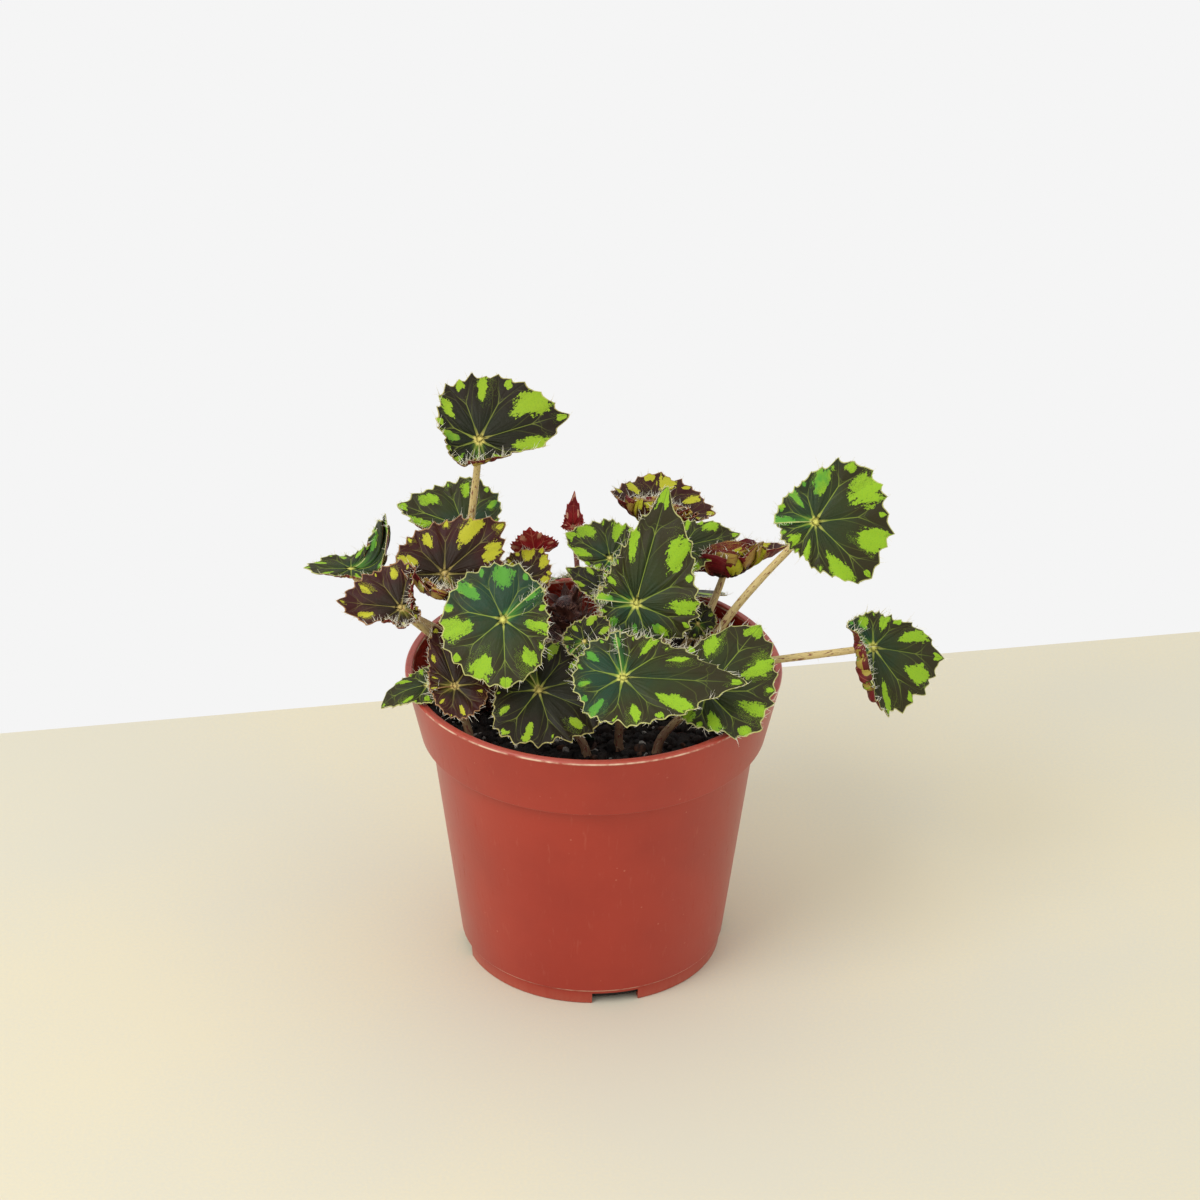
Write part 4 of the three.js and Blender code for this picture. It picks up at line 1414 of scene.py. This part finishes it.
RHIZOMES = (Rhizome("middle", 7, 44, 34.0), Rhizome("left", 8, 16, 18.0), Rhizome("right", 9, 16, 18.0))


@dataclass
class Scale:
    """One papery scale: a cupped blade that narrows to a point."""

    root: Array
    out: Array
    ahead: Array
    length_mm: float
    width_mm: float
    lift: float
    curl: float
    thickness_mm: float = 0.16

    def put(self, scales: Basket, hairs: Basket, rng: np.random.Generator) -> None:
        """Adds the scale to one basket and the hairs on its sides to another.

        Args:
            scales: Where the scale goes.
            hairs: Where its hairs go.
            rng: Its random draws.
        """
        rows, columns = 10, 7
        side = unit(np.cross(self.ahead, self.out))
        t = np.linspace(0, 1, rows)[:, None]
        c = np.linspace(-1, 1, columns)[None, :]
        outline = np.sin((t * 0.86 + 0.14) * math.pi) ** 0.6 * (1 - t**2.5) + 0.02
        half = self.width_mm / 2 * np.clip(outline, 0.03, 1)
        cup = 0.22 * self.width_mm * (c * half * 2 / self.width_mm) ** 2
        rise = self.length_mm * (t * self.lift + self.curl * t**2.2) - cup
        rise = rise + 0.12 * np.sin(c * 7 + t * 5 + self.length_mm)
        forward = self.length_mm * t * (1 - 0.2 * self.lift)
        grid = self.root + MM * (
            forward[..., None] * self.ahead + rise[..., None] * self.out + (half * c)[..., None] * side
        )
        over = unit(np.cross(np.gradient(grid, axis=1), np.gradient(grid, axis=0)))
        if np.sum(over * self.out) < 0:
            over = -over
        half_thick = self.thickness_mm / 2 * MM * (1.2 - t[..., None])
        points, faces = sheet(grid, over * half_thick)
        scales.put(points, *faces)
        edges = np.concatenate([grid[1:, 0], grid[1:, -1]])
        ways = np.concatenate([np.tile(-side, (rows - 1, 1)), np.tile(side, (rows - 1, 1))])
        pick = rng.integers(0, len(edges), 16)
        heads = unit(ways[pick] * 0.7 + self.ahead * 0.5 + self.out * 0.3 + rng.normal(0, 0.3, (16, 3)))
        bends = rng.normal(0, 0.3, (16, 3))
        hairs.put_hairs(edges[pick], heads, bends, rng.uniform(1.2, 3.2, 16) * MM, 0.055 * MM)


# ---------------------------------------------------------------- pot and soil


@dataclass
class Pot:
    """A moulded nursery pot: flared collar, flat lip and four drain notches at the foot."""

    around: int = 224
    collar_mm: float = 21.8
    notch_width_mm: float = 15.0
    notch_height_mm: float = 4.0
    notch_turns_deg: tuple[float, ...] = (-79.4, 10.6, 100.6, 190.6)

    def __post_init__(self) -> None:
        """Reads the pot's size from the frame."""
        low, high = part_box("pot")
        self.rim_mm = (high.x - low.x) / 2 / MM
        self.height_mm = (high.z - low.z) / MM

    def _profile(self) -> Array:
        """Radius and height in millimetres, up the outside and down the inside, with rounded corners."""
        rim, top = self.rim_mm, self.height_mm
        crease = top - self.collar_mm
        outside = [
            (0, 0.9, 0), (rim - 21.6, 0.9, 0.3), (rim - 21.0, 0, 0.3), (rim - 18.4, 0, 0.5),
            (rim - 18.0, 5.0, 0.3), (rim - 17.3, 5.35, 0.4), (rim - 8.0, crease - 0.7, 0.25),
            (rim - 5.0, crease, 0.15), (rim - 4.8, crease + 0.3, 0.15), (rim - 0.2, top - 1.2, 0.3),
            (rim, top - 0.7, 0.3), (rim - 0.5, top, 0.3),
        ]
        inside = [
            (rim - 2.2, top, 0.4), (rim - 2.7, top - 0.6, 0.4), (rim - 2.7, top - 3.6, 0.4),
            (rim - 2.1, top - 4.4, 0.4), (rim - 6.0, crease + 1.4, 0.4), (rim - 9.2, crease + 0.4, 0.4),
            (rim - 19.5, 1.6, 0.6), (0, 1.6, 0),
        ]
        corners = outside + inside
        rows = [np.array(corners[0][:2], float)]
        for before, here, after in zip(corners, corners[1:], corners[2:]):
            p, q, r = (np.array(c[:2], float) for c in (before, here, after))
            cut = min(here[2], 0.45 * np.linalg.norm(q - p), 0.45 * np.linalg.norm(r - q))
            start, end = q + unit(p - q) * cut, q + unit(r - q) * cut
            for t in np.linspace(0, 1, 5):
                rows.append(start * (1 - t) ** 2 + q * 2 * t * (1 - t) + end * t**2)
        rows.append(np.array(corners[-1][:2], float))
        return np.array(rows)

    def build(self, plastic: bpy.types.Material) -> None:
        """Turns the profile, then cuts the drain notches.

        Args:
            plastic: The pot's material.
        """
        profile = self._profile() * MM
        turn = np.arange(self.around) * math.tau / self.around
        rings = profile[1:-1]
        count = len(rings)
        points = np.stack([
            np.outer(rings[:, 0], np.cos(turn)), np.outer(rings[:, 0], np.sin(turn)),
            np.outer(rings[:, 1], np.ones(self.around)),
        ], axis=-1).reshape(-1, 3)
        number = np.arange(count * self.around).reshape(count, self.around)
        points = np.concatenate([points, [[0, 0, profile[0, 1]], [0, 0, profile[-1, 1]]]])
        shell = lay_mesh("pot_shell", points, tube(number, len(points) - 2, len(points) - 1), plastic)
        cutter = self._cutter()
        cut = shell.modifiers.new("drain notches", "BOOLEAN")
        cut.operation, cut.object, cut.solver = "DIFFERENCE", cutter, "EXACT"
        bpy.context.view_layer.update()
        finished = bpy.data.meshes.new_from_object(shell.evaluated_get(bpy.context.evaluated_depsgraph_get()))
        shell.modifiers.clear()
        shell.data = finished
        bpy.data.objects.remove(cutter)
        finished.set_sharp_from_angle(angle=math.radians(50))
        settle(shell, "pot_plastic", "pot")

    def _cutter(self) -> bpy.types.Object:
        """Blocks the shape of the four drain notches."""
        blocks = Basket("notch_blocks")
        middle, depth = self.rim_mm - 18, 12.0
        corners = np.array([(x, y, z) for x in (-0.5, 0.5) for y in (-0.5, 0.5) for z in (-1, 1)], float)
        sides = np.array([(0, 1, 3, 2), (4, 6, 7, 5), (0, 4, 5, 1), (2, 3, 7, 6), (0, 2, 6, 4), (1, 5, 7, 3)])
        for turn in self.notch_turns_deg:
            block = corners * [depth, self.notch_width_mm, self.notch_height_mm] + [middle, 0, 0]
            spin = np.array(Matrix.Rotation(math.radians(turn), 3, "Z"))
            blocks.put(block @ spin.T * MM, sides)
        mesh = bpy.data.meshes.new(blocks.name)
        mesh.from_pydata(np.concatenate(blocks.points).tolist(), [], np.concatenate(blocks.faces).tolist())
        return link(blocks.name, mesh)


@dataclass
class PottingSoil:
    """Damp peat in crumbs, with grit, bark and fibres lying on it."""

    seed: int = 71
    crumbs: int = 1500
    grit: int = 120
    bark: int = 90
    fibres: int = 110

    def __post_init__(self) -> None:
        """Reads the soil's size from the frame."""
        low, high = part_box("soil")
        self.low, self.top, self.radius = low.z, high.z, (high.x - low.x) / 2
        self.rng = np.random.default_rng(self.seed)

    def height(self, x: Array, y: Array) -> Array:
        """Height of the soil's surface at places in plan."""
        flat = np.stack([x, y, np.zeros_like(x)], axis=-1).reshape(-1, 3)
        uneven = lumps(flat, 35, 3) * 0.9 + lumps(flat, 120, 4) * 0.45 + lumps(flat, 330, 5) * 0.22
        return self.top + (uneven.reshape(x.shape) - 0.7) * MM

    def build(self, paints: dict[str, bpy.types.Material]) -> None:
        """Makes the plug, then everything that lies on it.

        Args:
            paints: The materials named peat, grit, bark and fibre.
        """
        corners, _ = welded("soil")
        reach = np.linalg.norm(corners[:, :2], axis=1)
        levels = sorted({round(z, 5) for z in corners[:, 2]})
        walls = [(max(reach[np.abs(corners[:, 2] - z) < 2e-5]), z) for z in levels]
        around, rings = 160, 56
        turn = np.arange(around) * math.tau / around
        points = [
            np.stack([r * np.cos(turn), r * np.sin(turn), np.full(around, z)], axis=1) for r, z in walls[:-1]
        ]
        for share in np.linspace(1, 0.02, rings):
            x, y = share * self.radius * np.cos(turn), share * self.radius * np.sin(turn)
            points.append(np.stack([x, y, self.height(x, y)], axis=1))
        count = len(points)
        number = np.arange(count * around).reshape(count, around)
        middle = self.height(np.zeros(1), np.zeros(1))[0]
        flat = np.concatenate(points + [np.array([[0, 0, self.low], [0, 0, middle]])])
        plug = lay_mesh("potting_soil", flat, tube(number, len(flat) - 2, len(flat) - 1), paints["peat"])
        settle(plug, "soil", "soil")
        self._scatter("peat_crumbs", self.crumbs, (0.5, 2.0), 1.0, paints["peat"])
        self._scatter("grit", self.grit, (0.5, 1.3), 1.0, paints["grit"])
        self._scatter("bark_bits", self.bark, (0.9, 2.3), 0.4, paints["bark"])
        self._lay_fibres(paints["fibre"])
        self._drop_scrap(paints["scrap"])

    def _spots(self, count: int) -> Array:
        """Random places on the surface, in plan and height."""
        r = np.sqrt(self.rng.uniform(0, 1, count)) * (self.radius - 1.5 * MM)
        turn = self.rng.uniform(0, math.tau, count)
        x, y = r * np.cos(turn), r * np.sin(turn)
        return np.stack([x, y, self.height(x, y)], axis=1)

    def _scatter(
        self, name: str, count: int, sizes_mm: tuple[float, float], flat: float, paint: bpy.types.Material
    ) -> None:
        """Lays many uneven lumps on the surface.

        Args:
            name: The object's name.
            count: How many.
            sizes_mm: Smallest and largest radius.
            flat: Height as a share of the width.
            paint: Their material.
        """
        ball = bpy.data.meshes.new("ball")
        mould = bmesh.new()
        bmesh.ops.create_icosphere(mould, subdivisions=2, radius=1)
        mould.to_mesh(ball)
        mould.free()
        base = np.array([v.co for v in ball.vertices], float)
        faces = np.array([p.vertices for p in ball.polygons], int)
        bpy.data.meshes.remove(ball)
        basket = Basket(name)
        spots = self._spots(count)
        for spot in spots:
            size = sizes_mm[0] + (sizes_mm[1] - sizes_mm[0]) * self.rng.uniform() ** 2.2
            stretch = self.rng.uniform(0.65, 1.35, 3) * [1, 1, flat]
            dents = 1 + 0.24 * lumps(base, 0.33, int(self.rng.integers(1, 90)))
            dents = dents + self.rng.normal(0, 0.05, len(base))
            angle = self.rng.uniform(0, math.tau)
            spin = np.array(Matrix.Rotation(angle, 3, Vector(self.rng.normal(size=3))))
            lump = (base * dents[:, None] * stretch) @ spin.T * size * MM
            basket.put(lump + spot + [0, 0, size * 0.25 * MM], faces)
        basket.lay(paint, "soil")

    def _drop_scrap(self, paint: bpy.types.Material) -> None:
        """A fallen bit of leaf, curled, that lies on the soil near the front."""
        rows, columns, thick = 9, 9, 0.3
        t, c = np.meshgrid(np.linspace(0, 1, rows), np.linspace(-1, 1, columns), indexing="ij")
        half = 3.4 * (1 - t**1.6) + 0.25
        x = c * half + 1.4 * t
        y = -5.5 * t - 0.6 * c**2
        z = 1.1 + 4.2 * t**1.5 + 0.9 * c**2 + 0.3 * np.sin(4 * c + 5 * t)
        start = np.array([-3.0, -24.0, self.top / MM])
        grid = (np.stack([x, y, z], axis=-1) + start) * MM
        over = unit(np.cross(np.gradient(grid, axis=1), np.gradient(grid, axis=0)))
        over = over * np.sign(over[..., 2:3].mean())
        points, faces = sheet(grid, over * thick / 2 * MM)
        settle(lay_mesh("fallen_scrap", points, faces, paint), "blade_dark")

    def _lay_fibres(self, paint: bpy.types.Material) -> None:
        """Thin roots and fibres that lie about on the surface."""
        basket = Basket("fibres")
        spots = self._spots(self.fibres) + [0, 0, 0.7 * MM]
        turn = self.rng.uniform(0, math.tau, self.fibres)
        rise = self.rng.uniform(-0.05, 0.25, self.fibres)
        heads = unit(np.stack([np.cos(turn), np.sin(turn), rise], axis=1))
        bends = self.rng.normal(0, 0.4, (self.fibres, 3)) * [1, 1, 0.2]
        inner = np.linalg.norm(spots[:, :2], axis=1) < self.radius - 7 * MM
        lengths = self.rng.uniform(2.5, 7, self.fibres) * MM
        basket.put_hairs(spots[inner], heads[inner], bends[inner], lengths[inner], 0.13 * MM)
        basket.lay(paint, "soil")


# ---------------------------------------------------------------- studio


@dataclass
class Studio:
    """Cream card under the pot, soft white surroundings, one large soft light and the camera."""

    aim_mm: tuple[float, float, float] = (1.86, 0.0, 124.8)
    elevation_deg: float = 28.9
    roll_deg: float = 0.4
    distance: float = 1.3
    lens_mm: float = 123.84
    back_edge: float = 0.1635
    back_turn_deg: float = 10.4
    surround: Rgb = tint(245, 245, 245)

    def build(self) -> None:
        """Sets up everything that isn't part of the plant."""
        self._place_camera()
        self._lay_floor()
        self._hang_lights()

    def _place_camera(self) -> None:
        """Looks down at the plant from the front."""
        rise, roll = math.radians(self.elevation_deg), math.radians(self.roll_deg)
        back = Vector((0, -math.cos(rise), math.sin(rise)))
        right = Vector((1, 0, 0))
        up = back.cross(right)
        data = bpy.data.cameras.new("camera")
        data.sensor_width, data.lens = 36.0, self.lens_mm
        data.clip_start, data.clip_end = 0.05, 20.0
        camera = link("camera", data)
        cosine, sine = math.cos(roll), math.sin(roll)
        turn = Matrix((right * cosine + up * sine, up * cosine - right * sine, back))
        aim = Vector(self.aim_mm) * MM
        camera.matrix_world = Matrix.Translation(aim + back * self.distance) @ turn.transposed().to_4x4()
        bpy.context.scene.camera = camera

    def _lay_floor(self) -> None:
        """A card that ends in a straight edge behind the pot."""
        turn = math.radians(self.back_turn_deg)
        along = np.array([math.cos(turn), math.sin(turn), 0])
        ahead = np.array([math.sin(turn), -math.cos(turn), 0])
        start = np.array([0, self.back_edge, 0])
        rows, columns = 9, 13
        places = [(a, d) for d in np.linspace(0, 2.4, rows) for a in np.linspace(-1.6, 1.6, columns)]
        grid = [start + along * a + ahead * d for a, d in places]
        number = np.arange(rows * columns).reshape(rows, columns)
        card = FloorCard().material("floor card")
        floor = lay_mesh("floor", np.array(grid), [grid_quads(number)[:, ::-1]], card)

    def _hang_lights(self) -> None:
        """Soft light from the upper left front, and an even white surround."""
        data = bpy.data.lights.new("soft light", "AREA")
        data.shape, data.size, data.energy = "DISK", 0.9, 11.0
        data.color = (1.0, 0.985, 0.96)
        lamp = link("soft light", data)
        place = Vector((-0.75, -0.75, 1.25))
        facing = (Vector((0, 0, 0.08)) - place).to_track_quat("-Z", "Y").to_matrix().to_4x4()
        lamp.matrix_world = Matrix.Translation(place) @ facing
        world = bpy.data.worlds.new("surround")
        world.use_nodes = True
        sky = world.node_tree.nodes["Background"]
        sky.inputs["Color"].default_value = (*self.surround, 1.0)
        sky.inputs["Strength"].default_value = 1.0
        bpy.context.scene.world = world
        bpy.context.scene.view_settings.view_transform = "Standard"


# ---------------------------------------------------------------- the plant


class Begonia:
    """The whole potted plant."""

    @staticmethod
    def leaf_names() -> dict[str, LeafKind]:
        """Leaves of the frame and the kind that each one's material slot says."""
        rows = frame["record"]["subparts"]
        slots = {row["node"]: row["material_slot"] for row in rows}
        found = sorted(node for node in frame["nodes"] if node.startswith("blade_"))
        return {node.removeprefix("blade_"): LeafKind(slots[node]) for node in found}

    def build(self) -> None:
        """Makes every piece of the plant and its pot."""
        Pot().build(PotPlastic().material("satin red plastic"))
        paints = {
            "peat": PEAT.material("damp peat"), "grit": GRIT.material("pale grit"),
            "bark": BARK_CRUMB.material("bark"), "fibre": PAPERY_SCALE.material("root fibre"),
            "scrap": DARK_LEAF_SCRAP.material("dark leaf scrap"),
        }
        PottingSoil().build(paints)
        blades = {kind: paint.material(kind.value.replace("_", " ")) for kind, paint in LEAF_PAINTS.items()}
        stalks = {
            False: OLD_STALK.material("stalk skin"),
            True: YOUNG_STALK.material("young stalk skin"),
        }
        lashes, stalk_hairs = Basket("margin_hairs"), Basket("stalk_hairs")
        for number, (name, kind) in enumerate(self.leaf_names().items()):
            blade = Blade(name, kind, 100 + number, LEAF_MOODS.get(name, LeafMood()))
            blade.build(blades, lashes)
            blade.build_stalk(stalks, stalk_hairs)
        scales, shag = Basket("papery_scales"), Basket("rhizome_hairs")
        bark = RHIZOME_BARK.material("rhizome bark")
        for rhizome in RHIZOMES:
            rhizome.build(bark, scales, shag)
        scales.lay(PAPERY_SCALE.material("papery scale"), "rhizome")
        pale = HAIR_GLOSS.material("pale hair")
        lashes.lay(pale, "stalk")
        stalk_hairs.lay(pale, "stalk")
        shag.lay(DARK_HAIR.material("rhizome hair"), "rhizome")


def main() -> None:
    """Builds the studio and the plant."""
    logging.basicConfig(level=logging.INFO, format="%(message)s")
    Studio().build()
    Begonia().build()
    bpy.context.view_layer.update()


if __name__ == "__main__":
    main()
